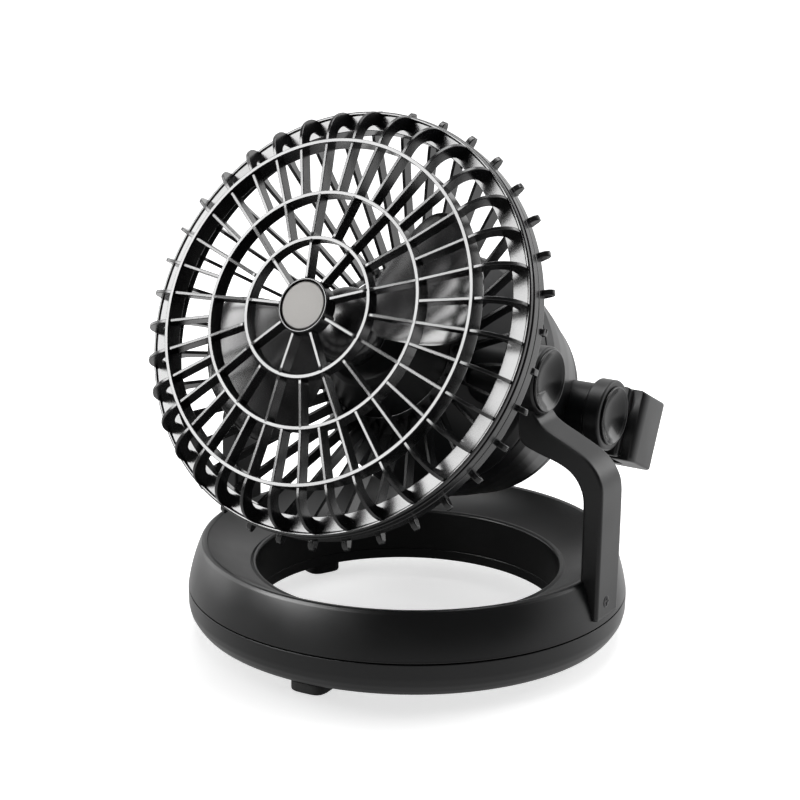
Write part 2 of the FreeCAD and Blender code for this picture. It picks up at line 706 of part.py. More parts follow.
def make_handle():
    axis = mm.handle_axis
    high = mm.handle_half_height
    inner, outer, knuckle_out = mm.leg_inner, mm.leg_outer, mm.knuckle_outer
    end = mm.handle_end
    solids = [Part.makeBox(2 * outer, mm.handle_bar, 2 * high, Vector(-outer, end - mm.handle_bar, -high))]
    cuts = []
    for side in (1, -1):
        knuckle = Part.makeCylinder(mm.knuckle_radius, knuckle_out - inner,
                                    Vector(side * inner, axis, 0), ABOUT_X * side)
        low_leg = Part.makeBox(knuckle_out - inner, end - axis - 2, 2 * high, Vector(inner, axis, -high))
        leg = Part.makeBox(outer - inner, end - axis, 2 * high, Vector(inner, axis, -high))
        relief = Part.makeCylinder(18.0, 20, Vector(knuckle_out, axis, 0), ABOUT_X)
        leg = leg.cut(relief)
        recess_floor = Vector(side * (knuckle_out - mm.cap_thick - 0.6), axis, 0)
        recess = Part.makeCylinder(mm.cap_radius + mm.fit, 10, recess_floor, ABOUT_X * side)
        bore = Part.makeCylinder(mm.pin_radius, 30, Vector(side * 50, axis, 0), ABOUT_X * side)
        if side < 0:
            low_leg = low_leg.mirror(Vector(0, 0, 0), ABOUT_X)
            leg = leg.mirror(Vector(0, 0, 0), ABOUT_X)
        solids += [knuckle, low_leg, leg]
        cuts += [recess, bore]
    bail = one_of(solids)
    corners = [edge for edge in bail.Edges if edge.BoundBox.ZLength > 2 * high - 1
               and edge.BoundBox.XLength < 0.01 and edge.BoundBox.YLength < 0.01
               and edge.BoundBox.YMin > end - 1]
    bail = bail.makeFillet(3.0, corners)
    rims = [edge for edge in bail.Edges if edge.BoundBox.ZLength < 0.01
            and abs(abs(edge.BoundBox.ZMin) - high) < 0.01
            and (edge.BoundBox.YMax > end - 0.01 or edge.BoundBox.XMax > outer - 0.01
                 or edge.BoundBox.XMin < 0.01 - outer)]
    bail = bail.makeFillet(1.0, rims)
    for tool in cuts:
        bail = bail.cut(tool)
    shape("handle", bail, True)
    caps = bores(-axis, knuckle_out - mm.cap_thick - 0.6, mm.cap_radius, mm.cap_thick)
    shape("handle_caps", Part.makeCompound(caps), True)
    pin_start, pin_end = 45, knuckle_out - 2.0
    pins = bores(-axis, pin_start, mm.pin_radius, pin_end - pin_start)
    shape("handle_pins", Part.makeCompound(pins), True)


def make_switches():
    low, back = mm.switch_height, mm.switch_back
    plate = Part.makeBox(39.4, 21.4, 1.6, Vector(-19.7, back - 21.7, low))
    for x in (-9, 9):
        plate = plate.cut(Part.makeBox(4.6, 12, 6, Vector(x - 2.3, back - 17, low - 1)))
    shape("switch_plate", plate, True)
    for name, x in (("fan_switch", -9), ("light_switch", 9)):
        knob = Part.makeBox(4, 6, 4.4, Vector(x - 2, back - 16.7, low - 0.4))
        base = Part.makeBox(8, 8, 1.6, Vector(x - 4, back - 17.7, low - 1.9))
        shape(name, knob.fuse(base).removeSplitter(), True)


make_ring()
make_yoke()
make_front_grille()
make_rear_grille()
make_housing()
make_inside()
make_rotor()
make_handle()
make_switches()
doc.recompute()

failed = [item.Name for item in doc.Objects if "Invalid" in item.State or "Error" in item.State]
if failed:
    raise RuntimeError("these objects failed: " + ", ".join(failed))
os.makedirs("parts", exist_ok=True)
for item in parts:
    solid = item.Shape
    if solid.isNull() or not solid.isValid():
        raise RuntimeError(item.Label + " has no valid shape")
    solid.exportStep(os.path.join("parts", item.Label + ".step"))
    print(item.Label, len(solid.Solids), round(solid.Volume))
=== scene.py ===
import json
import math

import bmesh
import bpy
import numpy as np
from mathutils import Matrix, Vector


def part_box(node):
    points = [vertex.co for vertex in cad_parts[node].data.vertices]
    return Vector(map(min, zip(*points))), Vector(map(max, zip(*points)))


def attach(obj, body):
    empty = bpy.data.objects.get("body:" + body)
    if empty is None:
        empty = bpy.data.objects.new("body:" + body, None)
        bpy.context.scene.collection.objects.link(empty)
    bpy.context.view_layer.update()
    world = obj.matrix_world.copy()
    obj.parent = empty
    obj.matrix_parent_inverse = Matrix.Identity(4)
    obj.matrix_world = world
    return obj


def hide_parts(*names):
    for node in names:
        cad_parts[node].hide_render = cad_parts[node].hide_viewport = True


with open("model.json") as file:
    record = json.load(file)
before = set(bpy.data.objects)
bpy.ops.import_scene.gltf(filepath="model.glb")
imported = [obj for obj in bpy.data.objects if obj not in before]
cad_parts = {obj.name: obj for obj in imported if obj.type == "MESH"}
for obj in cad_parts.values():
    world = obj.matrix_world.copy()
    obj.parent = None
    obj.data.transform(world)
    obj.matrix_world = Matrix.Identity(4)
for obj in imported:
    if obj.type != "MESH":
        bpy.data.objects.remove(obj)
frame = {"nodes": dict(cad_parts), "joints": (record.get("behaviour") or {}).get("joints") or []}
nodes = frame["nodes"]
joints = {joint["name"]: joint for joint in frame["joints"]}
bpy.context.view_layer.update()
scene = bpy.context.scene
MM = 0.001

# Camera: the photograph's view of the fan, a long lens from the front right and a little above.
# Its place and lens were fitted to the ellipses that the round base makes there.
AIM_HEIGHT = 0.1005
STAND_OFF = 0.760
TURN, RISE, ROLL = (math.radians(angle) for angle in (31.95, 14.94, 0.94))
LENS_LENGTH, SENSOR_WIDTH = 80.36, 36.0
SHIFT_RIGHT, SHIFT_UP = -0.0129, 0.0008
FARTHEST = 60.0

back = np.array([math.sin(TURN) * math.cos(RISE), -math.cos(TURN) * math.cos(RISE), math.sin(RISE)])
right = np.array([math.cos(TURN), math.sin(TURN), 0.0])
above = np.cross(back, right)
camera = bpy.data.objects.new("camera", bpy.data.cameras.new("camera"))
scene.collection.objects.link(camera)
turned_right = math.cos(ROLL) * right + math.sin(ROLL) * above
turned_above = math.cos(ROLL) * above - math.sin(ROLL) * right
place = np.identity(4)
place[:3, 0], place[:3, 1], place[:3, 2] = turned_right, turned_above, back
place[:3, 3] = np.array([0, 0, AIM_HEIGHT]) + STAND_OFF * back
camera.matrix_world = place.T.tolist()
camera.data.lens = LENS_LENGTH
camera.data.sensor_width = SENSOR_WIDTH
camera.data.shift_x = SHIFT_RIGHT
camera.data.shift_y = SHIFT_UP
camera.data.clip_end = FARTHEST
scene.camera = camera
scene.view_settings.view_transform = "Standard"

# Studio: a white floor and a white backdrop behind the fan, with four soft boxes in a room otherwise dim.
# The box in front, high at the left, shows only in reflections, on surfaces that face along the fan's axis.
# The floor also glows, a painted light: the camera sees it plain white far from the fan and dimmer near it,
# where its real soft shadow shows; in reflections it shows only its painted glow, with painted shade inside
# the ring's hole and painted light behind the fan.
FLOOR_HALF = 8.0
PAPER = 0.80
ROOM, BACKDROP = 0.08, 1.0
WHITE = (1, 1, 1, 1)
# Ramps of the floor's painted glow: by distance from the middle, from front to back, and across the ring's
# hole.
NEAR_TO_FAR, PAINTED_SHADE_TO_WHITE = (0.05, 0.30), (0.62, 1.05)
FRONT_TO_BACK, GLOW_TO_BACK = (-0.15, 0.25), (0.50, 1.20)
HOLE_TO_RING, GLOW_TO_RING = (0.07, 0.10), (0.06, 1.0)
SKY_EDGE = (0.1, 0.7)
LAMP_AIM = np.array([0, 0, 0.1])


def added(tree, kind, first, second):
    """The sum, difference, product or greater of two sockets, or of a socket and a number."""
    node = tree.nodes.new("ShaderNodeMath")
    node.operation = kind
    for place_in, given in enumerate((first, second)):
        if isinstance(given, float):
            node.inputs[place_in].default_value = given
        else:
            tree.links.new(given, node.inputs[place_in])
    return node.outputs[0]


def preset(node, values):
    """Sets the inputs of a node that are named here."""
    for label, value in values.items():
        node.inputs[label].default_value = value


def mapped(tree, value, given, wanted):
    """A socket's value moved evenly from one range to another and kept inside the second."""
    node = tree.nodes.new("ShaderNodeMapRange")
    preset(node, {"From Min": given[0], "From Max": given[1], "To Min": wanted[0], "To Max": wanted[1]})
    tree.links.new(value, node.inputs["Value"])
    return node.outputs["Result"]


def along_y(tree, vector):
    """The Y part of a socket that holds a vector."""
    parts = tree.nodes.new("ShaderNodeSeparateXYZ")
    tree.links.new(vector, parts.inputs["Vector"])
    return parts.outputs["Y"]


def ray_kinds(tree):
    """Whether a ray comes from the camera, straight or through clear plastic, and whether it is mirrored."""
    path = tree.nodes.new("ShaderNodeLightPath")
    seen = added(tree, "MAXIMUM", path.outputs["Is Camera Ray"], path.outputs["Is Transmission Ray"])
    return seen, path.outputs["Is Glossy Ray"]


def new_material(name, values):
    """A material with these shader values, with its node tree, its shader and its Object coordinates."""
    material = bpy.data.materials.new(name)
    material.use_nodes = True
    tree = material.node_tree
    shader = tree.nodes["Principled BSDF"]
    preset(shader, values)
    return material, tree, shader, tree.nodes.new("ShaderNodeTexCoord").outputs["Object"]


floor_mesh = bpy.data.meshes.new("floor")
floor_corners = [(-1, -1, 0), (1, -1, 0), (1, 1, 0), (-1, 1, 0)]
floor_mesh.from_pydata([(x * FLOOR_HALF, y * FLOOR_HALF, z) for x, y, z in floor_corners], [], [(0, 1, 2, 3)])
floor = bpy.data.objects.new("floor", floor_mesh)
scene.collection.objects.link(floor)
paper, paper_tree, paper_shader, paper_place = new_material(
    "white_paper", {"Roughness": 0.9, "Specular IOR Level": 0.05, "Emission Color": WHITE})
distance = paper_tree.nodes.new("ShaderNodeVectorMath")
distance.operation = "LENGTH"
paper_tree.links.new(paper_place, distance.inputs[0])
from_middle = distance.outputs["Value"]
seen, glossy = ray_kinds(paper_tree)
# Painted glow that camera rays see: dimmer near the fan, where the real shadow shows, and full white far off.
painted_glow_seen = added(paper_tree, "MULTIPLY", seen, mapped(paper_tree, from_middle, NEAR_TO_FAR, PAINTED_SHADE_TO_WHITE))
# Painted shade and light that reflections see: the floor's glow is dark inside the ring's hole and brighter
# behind the fan.
painted_hole_shade = mapped(paper_tree, from_middle, HOLE_TO_RING, GLOW_TO_RING)
painted_glow_behind = mapped(paper_tree, along_y(paper_tree, paper_place), FRONT_TO_BACK, GLOW_TO_BACK)
mirrored = added(paper_tree, "MULTIPLY", glossy, added(paper_tree, "MULTIPLY", painted_hole_shade, painted_glow_behind))
paper_tree.links.new(added(paper_tree, "ADD", painted_glow_seen, mirrored), paper_shader.inputs["Emission Strength"])
# In reflections the paper has no colour of its own, so only its painted glow shows there.
tone = added(paper_tree, "MULTIPLY", added(paper_tree, "SUBTRACT", 1.0, glossy), PAPER)
paper_tree.links.new(tone, paper_shader.inputs["Base Color"])
floor_mesh.materials.append(paper)

world = bpy.data.worlds.new("studio")
world.use_nodes = True
scene.world = world
sky_tree = world.node_tree
sky = sky_tree.nodes["Background"]
preset(sky, {"Color": WHITE})
sky_place = sky_tree.nodes.new("ShaderNodeTexCoord").outputs["Generated"]
backdrop = mapped(sky_tree, along_y(sky_tree, sky_place), SKY_EDGE, (ROOM, BACKDROP))
sky_tree.links.new(added(sky_tree, "MAXIMUM", ray_kinds(sky_tree)[0], backdrop), sky.inputs["Strength"])

for name, spot, size, power in (
    ("overhead", (-0.10, 0.15, 1.10), (0.8, 0.6), 6.5),
    ("left", (-1.05, -0.10, 0.40), (0.7, 0.9), 5.0),
    ("behind", (0.75, 0.95, 0.60), (0.7, 0.6), 3.6),
    ("front", (-0.54, -0.74, 0.62), (0.66, 0.58), 15.0),
):
    lamp = bpy.data.lights.new(name, "AREA")
    lamp.shape = "RECTANGLE"
    lamp.size, lamp.size_y = size
    lamp.energy = power
    holder = bpy.data.objects.new(name, lamp)
    holder.visible_diffuse = name != "front"
    scene.collection.objects.link(holder)
    towards = LAMP_AIM - spot
    side = np.cross(towards, (0, 0, 1.0))
    side /= np.linalg.norm(side)
    towards /= np.linalg.norm(towards)
    turn = np.identity(4)
    turn[:3, 0], turn[:3, 1], turn[:3, 2] = side, np.cross(side, towards), -towards
    turn[:3, 3] = spot
    holder.matrix_world = turn.T.tolist()

# Upper ring shell: the satin black moulding that the arms stand in, dished towards its middle hole.
# Injection-moulded ABS, turned from one section; its parting line with the lower shell shows as a dark seam.
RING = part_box("ring_upper_shell")[1].x
HOLE = 65.6 * MM
SEAM = 19.9 * MM
CREST = 40.2 * MM
CREST_RADIUS = 88.0 * MM
BLACK = (0.0052, 0.0055, 0.0062, 1.0)
SAME_POINT = 1e-7
MOST_OF_SIDE, GUARD = 0.45, 0.08
MIDDLE_OF_NOISE = (0.3, 0.7)


def arc(centre, radius, start, end, count=12):
    """Points on a circle: centre plus radius times cosine and sine, angles in degrees from start to end."""
    angles = np.radians(np.linspace(start, end, count))
    return np.stack([centre[0] + radius * np.cos(angles), centre[1] + radius * np.sin(angles)], axis=1)


def path_of(*stretches):
    """One run of points from single points and rows of points, in order, without repeated ones."""
    points = np.concatenate([np.atleast_2d(np.asarray(stretch, float)) for stretch in stretches])
    apart = np.linalg.norm(np.diff(points, axis=0), axis=1) > SAME_POINT
    return points[np.concatenate([[True], apart])]


def beside(x, y, *steps):
    """Points given by steps in millimetres from a corner of an outline."""
    return np.array((x, y)) + np.array(steps) * MM


def softened(points, radius, count=4):
    """The same closed outline with every corner rounded: two points a radius from the corner along its
    sides, joined by a quadratic curve whose middle control is the corner itself; one more point just
    outside each end of the curve keeps the shading of the flat sides flat."""
    points = np.asarray(points, float)
    before, after = np.roll(points, 1, axis=0) - points, np.roll(points, -1, axis=0) - points
    reach_before = np.linalg.norm(before, axis=1, keepdims=True)
    reach_after = np.linalg.norm(after, axis=1, keepdims=True)
    radius = np.minimum(radius, 0.5 * points[:, :1])
    cut_before = np.minimum(radius, MOST_OF_SIDE * reach_before)
    cut_after = np.minimum(radius, MOST_OF_SIDE * reach_after)
    first = points + before / reach_before * cut_before
    last = points + after / reach_after * cut_after
    share = np.linspace(0, 1, count)[None, :, None]
    curve = (1 - share) ** 2 * first[:, None] + 2 * share * (1 - share) * points[:, None]
    curve += share ** 2 * last[:, None]
    outer_first = points + before / reach_before * (cut_before + GUARD * (0.5 * reach_before - cut_before))
    outer_last = points + after / reach_after * (cut_after + GUARD * (0.5 * reach_after - cut_after))
    return np.concatenate([outer_first[:, None], curve, outer_last[:, None]], axis=1).reshape(-1, 2)


def grid_faces(rows, columns, close_rows, close_columns):
    """Four-cornered faces between neighbours of a grid of rows times columns, wrapping round where closed."""
    row = np.arange(rows if close_rows else rows - 1)[:, None]
    column = np.arange(columns if close_columns else columns - 1)[None, :]
    down, across = (row + 1) % rows, (column + 1) % columns
    corners = [at_row * columns + at_column for at_row, at_column in (
        (row, column), (down, column), (down, across), (row, across))]
    return np.stack(np.broadcast_arrays(*corners), axis=-1).reshape(-1, 4)


def as_lists(faces):
    """Faces as plain lists, whether they come as an array or as lists."""
    return faces.tolist() if hasattr(faces, "tolist") else faces


def make_piece(name, points, faces, body, material, smooth=True, stands_for=()):
    """A finished piece from arrays of points and faces, riding on a body and standing for its solids."""
    mesh = bpy.data.meshes.new(name)
    mesh.from_pydata(points.reshape(-1, 3).tolist(), [], as_lists(faces))
    table = bmesh.new()
    table.from_mesh(mesh)
    bmesh.ops.remove_doubles(table, verts=table.verts, dist=SAME_POINT)
    table.to_mesh(mesh)
    table.free()
    mesh.polygons.foreach_set("use_smooth", [smooth] * len(mesh.polygons))
    mesh.materials.append(material)
    piece = bpy.data.objects.new(name, mesh)
    scene.collection.objects.link(piece)
    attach(piece, body)
    if stands_for:
        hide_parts(*stands_for)
    return piece


def upright(radius, height, angle):
    """Radius and height turned by an angle about the vertical through the middle of the base."""
    return np.stack([radius * np.cos(angle), radius * np.sin(angle), height + 0 * angle], axis=-1)


def turned(profile, place, steps=240):
    """A surface of revolution: each point (radius, height) of a closed outline, seen with the axis at its
    left, goes round in equal steps; place says where a radius, height and angle lie."""
    angles = np.linspace(0, 2 * math.pi, steps, endpoint=False)[:, None]
    points = place(profile[None, :, 0], profile[None, :, 1], angles)
    return points.reshape(-1, 3), grid_faces(steps, len(profile), True, True)


def noise_of(tree, where, scale, detail=2.0):
    """Smooth noise over a place, as a number from nought to one."""
    noise = tree.nodes.new("ShaderNodeTexNoise")
    preset(noise, {"Scale": scale, "Detail": detail})
    tree.links.new(where, noise.inputs["Vector"])
    return noise.outputs["Fac"]


def raised(tree, shader, height, strength, distance):
    """Bumps a surface by a socket's value, which at one is as high as the distance."""
    bump = tree.nodes.new("ShaderNodeBump")
    preset(bump, {"Strength": strength, "Distance": distance})
    tree.links.new(height, bump.inputs["Height"])
    tree.links.new(bump.outputs["Normal"], shader.inputs["Normal"])


def moulded(name, colour, roughness, grain, depth, sheen_spread=0.06, metallic=0.0, specular=0.5):
    """Moulded plastic: two scales of noise on Object coordinates shift the roughness a little, darken and
    lighten the colour by a few percent and raise a fine grain; grain is the size of one grain in metres."""
    material, tree, shader, where = new_material(name, {"Metallic": metallic, "Specular IOR Level": specular})
    broad, fine = noise_of(tree, where, 28.0, 4.0), noise_of(tree, where, 1.0 / grain)
    gloss = mapped(tree, broad, MIDDLE_OF_NOISE, (roughness - sheen_spread, roughness + sheen_spread))
    tree.links.new(gloss, shader.inputs["Roughness"])
    tint = tree.nodes.new("ShaderNodeValToRGB")
    for stop, position, share in zip(tint.color_ramp.elements, MIDDLE_OF_NOISE, (0.88, 1.12)):
        stop.position = position
        stop.color = tuple(min(1.0, share * part) for part in colour[:3]) + (1.0,)
    tree.links.new(fine, tint.inputs["Fac"])
    tree.links.new(tint.outputs["Color"], shader.inputs["Base Color"])
    raised(tree, shader, fine, 0.5, depth)
    return material


satin_black = moulded("satin_black_abs", BLACK, 0.34, 0.00035, 0.00002)


def bent(start, end, sag, count):
    """Points from start to end on a parabola that stands out to the left of the straight line by a sag."""
    start, end = np.asarray(start), np.asarray(end)
    share = np.linspace(0, 1, count)[:, None]
    across = np.array([start[1] - end[1], end[0] - start[0]]) / np.linalg.norm(end - start)
    return start + share * (end - start) + 4 * share * (1 - share) * sag * across


shoulder = bent((RING - 0.25 * MM, SEAM + 1.4 * MM), (CREST_RADIUS + 1.8 * MM, CREST - 1.6 * MM),
                -0.55 * MM, 16)
dish_line = bent((CREST_RADIUS - 1.4 * MM, CREST - 0.5 * MM), (HOLE + 2.6 * MM, 29.5 * MM), 1.1 * MM, 14)
upper_outline = path_of(
    beside(HOLE, 0, (0.6, 10.5), (3.0, 10.5), (3.6, 25.6)), beside(CREST_RADIUS, CREST, (-2.0, -3.4)),
    beside(RING, 0, (-2.4, 26.0)), beside(RING, SEAM, (-2.4, 0.5), (-0.35, 0.5), (-0.1, 0.75)), shoulder,
    arc((CREST_RADIUS + 0.2 * MM, CREST - 1.5 * MM), 1.3 * MM, 20, 104, 8), dish_line,
    arc((HOLE + 1.5 * MM, 28.4 * MM), 1.4 * MM, 62, 172, 10), beside(HOLE, 0, (0.2, 24.0)),
)
points, faces = turned(softened(upper_outline, 0.25 * MM), upright, 256)
make_piece("ring_upper", points, faces, "base", satin_black, stands_for=["ring_upper_shell"])

# Lower ring shell: the matching half underneath, with a rounded foot edge that tucks in towards the table.
# The same plastic, turned from its section; its lip holds the outer edge of the lamp's lens.
LOW = 5.5 * MM
FOOT_RADIUS = 91.2 * MM

lower_outline = path_of(
    beside(FOOT_RADIUS, LOW, (-5, 0), (-5, 1), (-3, 1), (-3, 9)), beside(RING, LOW, (-5, 10.4), (-2.7, 10.4)),
    beside(RING, SEAM, (-2.7, 0), (-0.3, 0), (-0.12, -0.04), (-0.05, -0.2), (-0.1, -6.6), (-0.7, -9.3)),
    beside(FOOT_RADIUS, LOW, (1.5, 2.4), (0, 0.6), (-1.4, 0)),
)
points, faces = turned(softened(lower_outline, 0.6 * MM), upright, 320)
make_piece("ring_lower", points, faces[:, ::-1], "base", satin_black,
           stands_for=["ring_lower_shell"])

# Inner collar: the wall of the middle hole below the upper shell, with the lens's inner lip and a ledge for
# the lamps' board. The same plastic again, turned from its section and snapped in from below.
collar_outline = path_of(
    beside(HOLE, LOW, (1.2, 0), (1.2, 4.7), (3.3, 4.7)), beside(HOLE, SEAM, (3.3, -2), (3.6, -2)),
    beside(HOLE, LOW, (3.6, 10.4), (6, 10.4), (6, 9), (4, 9), (4, 1), (6, 1), (6, 0)),
)
points, faces = turned(softened(collar_outline[::-1], 0.3 * MM), upright, 320)
make_piece("ring_collar", points, faces, "base", satin_black, stands_for=["ring_inner_collar"])

# Lens: a flat ring of clear polycarbonate under the lamps, with round prisms on its inner face. It is turned
# from one section and rests on the lips of the lower shell and the collar.
LENS_RIDGES = 12


def clear_plastic(name, tint, roughness):
    """Clear moulded plastic: full transmission with an index of 1.58, its roughness from a fine noise."""
    material, tree, shader, where = new_material(
        name, {"Base Color": tint, "Transmission Weight": 1.0, "IOR": 1.58})
    spread = mapped(tree, noise_of(tree, where, 900.0), (0, 1), (0.6 * roughness, 1.4 * roughness))
    tree.links.new(spread, shader.inputs["Roughness"])
    return material


lens_plastic = clear_plastic("clear_polycarbonate", (0.93, 0.95, 0.96, 1.0), 0.12)
lens_low, lens_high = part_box("ring_lens")[0].z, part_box("ring_lens")[1].z
lens_inner, lens_outer = HOLE + 4.3 * MM, FOOT_RADIUS - 3.3 * MM
ridge_radius = np.linspace(lens_outer, lens_inner, 2 * LENS_RIDGES + 1)
ridge_height = lens_high - 0.5 * MM * (np.arange(2 * LENS_RIDGES + 1) % 2)
lens_outline = path_of(
    (lens_inner, lens_low), (lens_outer, lens_low), np.stack([ridge_radius, ridge_height], axis=1),
)
points, faces = turned(lens_outline, upright, 200)
make_piece("lens", points, faces, "base", lens_plastic, False, ["ring_lens"])

# Lamp board and lamps: a white ring-shaped circuit board with round clear LEDs, seen through the lens.
# The solids of the board and the lamps are kept and given their finishes.
def finished(node, material):
    """Gives a solid that is kept its one material."""
    nodes[node].data.materials.clear()
    nodes[node].data.materials.append(material)


board_white = moulded("white_solder_mask", (0.78, 0.79, 0.77, 1.0), 0.35, 0.0012, 0.00001)
lamp_resin = moulded("lamp_resin", (0.86, 0.84, 0.60, 1.0), 0.12, 0.002, 0.00001, 0.03)
finished("led_board", board_white)
finished("ring_leds", lamp_resin)

# Feet: three soft rubber blocks glued under the ring, one nearly at the front and two behind.
# Each is a superellipsoid, so that it looks like a block with rounded corners and edges.
FOOT_AZIMUTHS = (-85.0, 35.0, 155.0)
FOOT_LENGTH, FOOT_WIDTH = 20.6 * MM, 16.0 * MM
FOOT_MIDDLE = 78.9 * MM


def rounded_block(half, squareness=0.22, rings=24, steps=48):
    """A superellipsoid: sine and cosine of the two angles keep their signs and are raised to a small power,
    so that the ball becomes a block with rounded edges; half holds its half sizes."""
    def power(value):
        return np.sign(value) * np.abs(value) ** squareness

    lift = np.linspace(-math.pi / 2, math.pi / 2, rings)[:, None]
    turn = np.linspace(0, 2 * math.pi, steps, endpoint=False)[None, :]
    x = half[0] * power(np.cos(lift)) * power(np.cos(turn))
    y = half[1] * power(np.cos(lift)) * power(np.sin(turn))
    z = half[2] * power(np.sin(lift)) + 0 * turn
    return np.stack([x, y, z], axis=-1), grid_faces(rings, steps, False, True)[:, ::-1]


def gathered(*groups):
    """Several (points, faces) groups as one."""
    points, faces, start = [], [], 0
    for some_points, some_faces in groups:
        some_points = some_points.reshape(-1, 3)
        points.append(some_points)
        faces += [[corner + start for corner in face] for face in as_lists(some_faces)]
        start += len(some_points)
    return np.concatenate(points), faces


foot_rubber = moulded("foot_rubber", (0.018, 0.018, 0.018, 1.0), 0.72, 0.0007, 0.00006)
block, block_faces = rounded_block((FOOT_LENGTH / 2, FOOT_WIDTH / 2, LOW / 2), 0.5)
block[..., 2] = LOW / 2 * np.sign(block[..., 2]) * np.abs(block[..., 2] / (LOW / 2)) ** 0.5
feet = []
for azimuth in np.radians(FOOT_AZIMUTHS):
    out, aside = block[..., 0] + FOOT_MIDDLE, block[..., 1]
    foot = [out * np.cos(azimuth) - aside * np.sin(azimuth), out * np.sin(azimuth) + aside * np.cos(azimuth),
            block[..., 2] + LOW / 2]
    feet.append((np.stack(foot, axis=-1), block_faces))
points, faces = gathered(*feet)
make_piece("feet", points, faces, "base", foot_rubber, stands_for=["ring_feet"])

# Yoke arms: one each side, from a pocket in the ring straight up, then leaning in over the ring in a sweeping
# bend to a round eye at the pivot. Satin black moulding with rounded edges, 16 mm wide and a little deeper
# behind, below its bend; one arm is made and mirrored.
ARM_INNER, ARM_OUTER = 87.3 * MM, 95.8 * MM
EYE_INNER, EYE_OUTER = 56.3 * MM, 65.7 * MM
ARM_WIDTH = 16.0 * MM
ARM_ROUNDING = 1.3 * MM
FOOT_DEEPER = 3.2 * MM
EYE_RADIUS = 14.0 * MM
PIVOT = np.array(joints["head_tilt"]["pos_m"], float)
CAP_RADIUS = 11.7 * MM
CAP_FLOOR = 4.1 * MM
BEND = 72.0 * MM


def evenly(points, count):
    """The same line with its points spaced evenly along its length."""
    steps = np.linalg.norm(np.diff(points, axis=0), axis=1)
    travelled = np.concatenate([[0], np.cumsum(steps)])
    wanted = np.linspace(0, travelled[-1], count)
    return np.stack([np.interp(wanted, travelled, column) for column in points.T], axis=1)


def eased(points, rounds=3):
    """A smoother line through corners: each round cuts every corner at a quarter of both its sides."""
    for _ in range(rounds):
        near = 0.75 * points[:-1] + 0.25 * points[1:]
        far = 0.25 * points[:-1] + 0.75 * points[1:]
        points = np.concatenate([points[:1], np.stack([near, far], axis=1).reshape(-1, 2), points[-1:]])
    return points


def strip_between(one_edge, other_edge, thickness, rounding, place, corner=5):
    """A bar in a plane between two lines with as many points: at each pair of points its section is a
    rectangle as long as they are apart and as thick as given, with round corners and a point just outside
    each; place takes the two coordinates in the plane and the one across it."""
    middle, half = (one_edge + other_edge) / 2, (one_edge - other_edge) / 2
    length = np.linalg.norm(half, axis=1)
    along = half / length[:, None]
    angles = np.radians(np.linspace(0, 90, corner))
    quarter = np.stack([np.cos(angles), np.sin(angles)], axis=1)
    quarter = np.concatenate([[(1.0, -0.25)], quarter, [(-0.25, 1.0)]])
    loops = []
    for turn, (sign_a, sign_b) in enumerate(((1, 1), (-1, 1), (-1, -1), (1, -1))):
        piece = quarter if turn % 2 == 0 else quarter[::-1]
        offset_a = sign_a * (length[:, None] - rounding + rounding * piece[None, :, 0])
        offset_b = sign_b * (thickness / 2 - rounding + rounding * piece[None, :, 1]) + 0 * offset_a
        loops.append(np.stack([offset_a, offset_b], axis=-1))
    loop = np.concatenate(loops, axis=1)
    in_plane = middle[:, None, :] + along[:, None, :] * loop[..., :1]
    points = place(in_plane[..., 0], in_plane[..., 1], loop[..., 1])
    rows, columns = loop.shape[:2]
    faces = grid_faces(rows, columns, False, True).tolist()
    ends = [list(range(columns)), list(range((rows - 1) * columns, rows * columns))[::-1]]
    return points, faces + ends


def about_line(point):
    """Where a distance from a line along X through a point, a reach along it and an angle round it lie."""
    def place(radius, reach, angle):
        return np.stack([reach + 0 * angle, point[1] + radius * np.cos(angle),
                         point[2] + radius * np.sin(angle)], axis=-1)

    return place


arm_outside = evenly(eased(path_of(
    beside(ARM_OUTER, 0, (0, 24)), beside(ARM_OUTER, BEND, (0, 5.5), (-0.6, 10), (-3.2, 15.4), (-8.6, 20.4)),
    beside(EYE_OUTER, BEND, (11, 25.6), (5, 28)),
    beside(EYE_OUTER, PIVOT[2], (0.6, -16.4), (-0.4, -14.6), (-2.6, -12.9), (-2.8, -5)),
)), 90)
arm_inside = evenly(eased(path_of(
    beside(ARM_INNER, 0, (0, 24)), beside(ARM_INNER, BEND, (0, 0), (-0.8, 5), (-4, 11), (-10, 15.2)),
    beside(EYE_INNER, BEND, (8, 18.6), (2, 20.8), (0, 25)), beside(EYE_INNER, PIVOT[2], (0, -5)),
)), 90)
eye_outline = path_of(
    (0.2 * MM, EYE_INNER), beside(EYE_RADIUS, EYE_INNER, (-0.6, 0), (0, 0.6)),
    beside(EYE_RADIUS, EYE_OUTER, (0, -0.9), (-0.5, -0.2), (-1.2, 0)),
    beside(CAP_RADIUS, EYE_OUTER, (0.4, -0.2)),
    (CAP_RADIUS + 0.3 * MM, EYE_OUTER - CAP_FLOOR), (0.2 * MM, EYE_OUTER - CAP_FLOOR),
)
arm_plastic = moulded("arm_black_abs", (0.0058, 0.0060, 0.0068, 1.0), 0.36, 0.00035, 0.00002)
bar, bar_faces = strip_between(arm_outside, arm_inside, ARM_WIDTH, ARM_ROUNDING,
                               lambda x, z, y: np.stack([x, y, z], axis=-1))
below_bend = np.clip((BEND + 24 * MM - bar[..., 2]) / (20 * MM), 0, 1)
bar[..., 1] += FOOT_DEEPER * np.clip(bar[..., 1] / (ARM_WIDTH / 2 - ARM_ROUNDING), 0, 1) * below_bend
eye, eye_faces = turned(softened(eye_outline, 0.25 * MM), about_line(PIVOT), 96)
arm, arm_faces = gathered((bar, bar_faces), (eye, eye_faces[:, ::-1]))
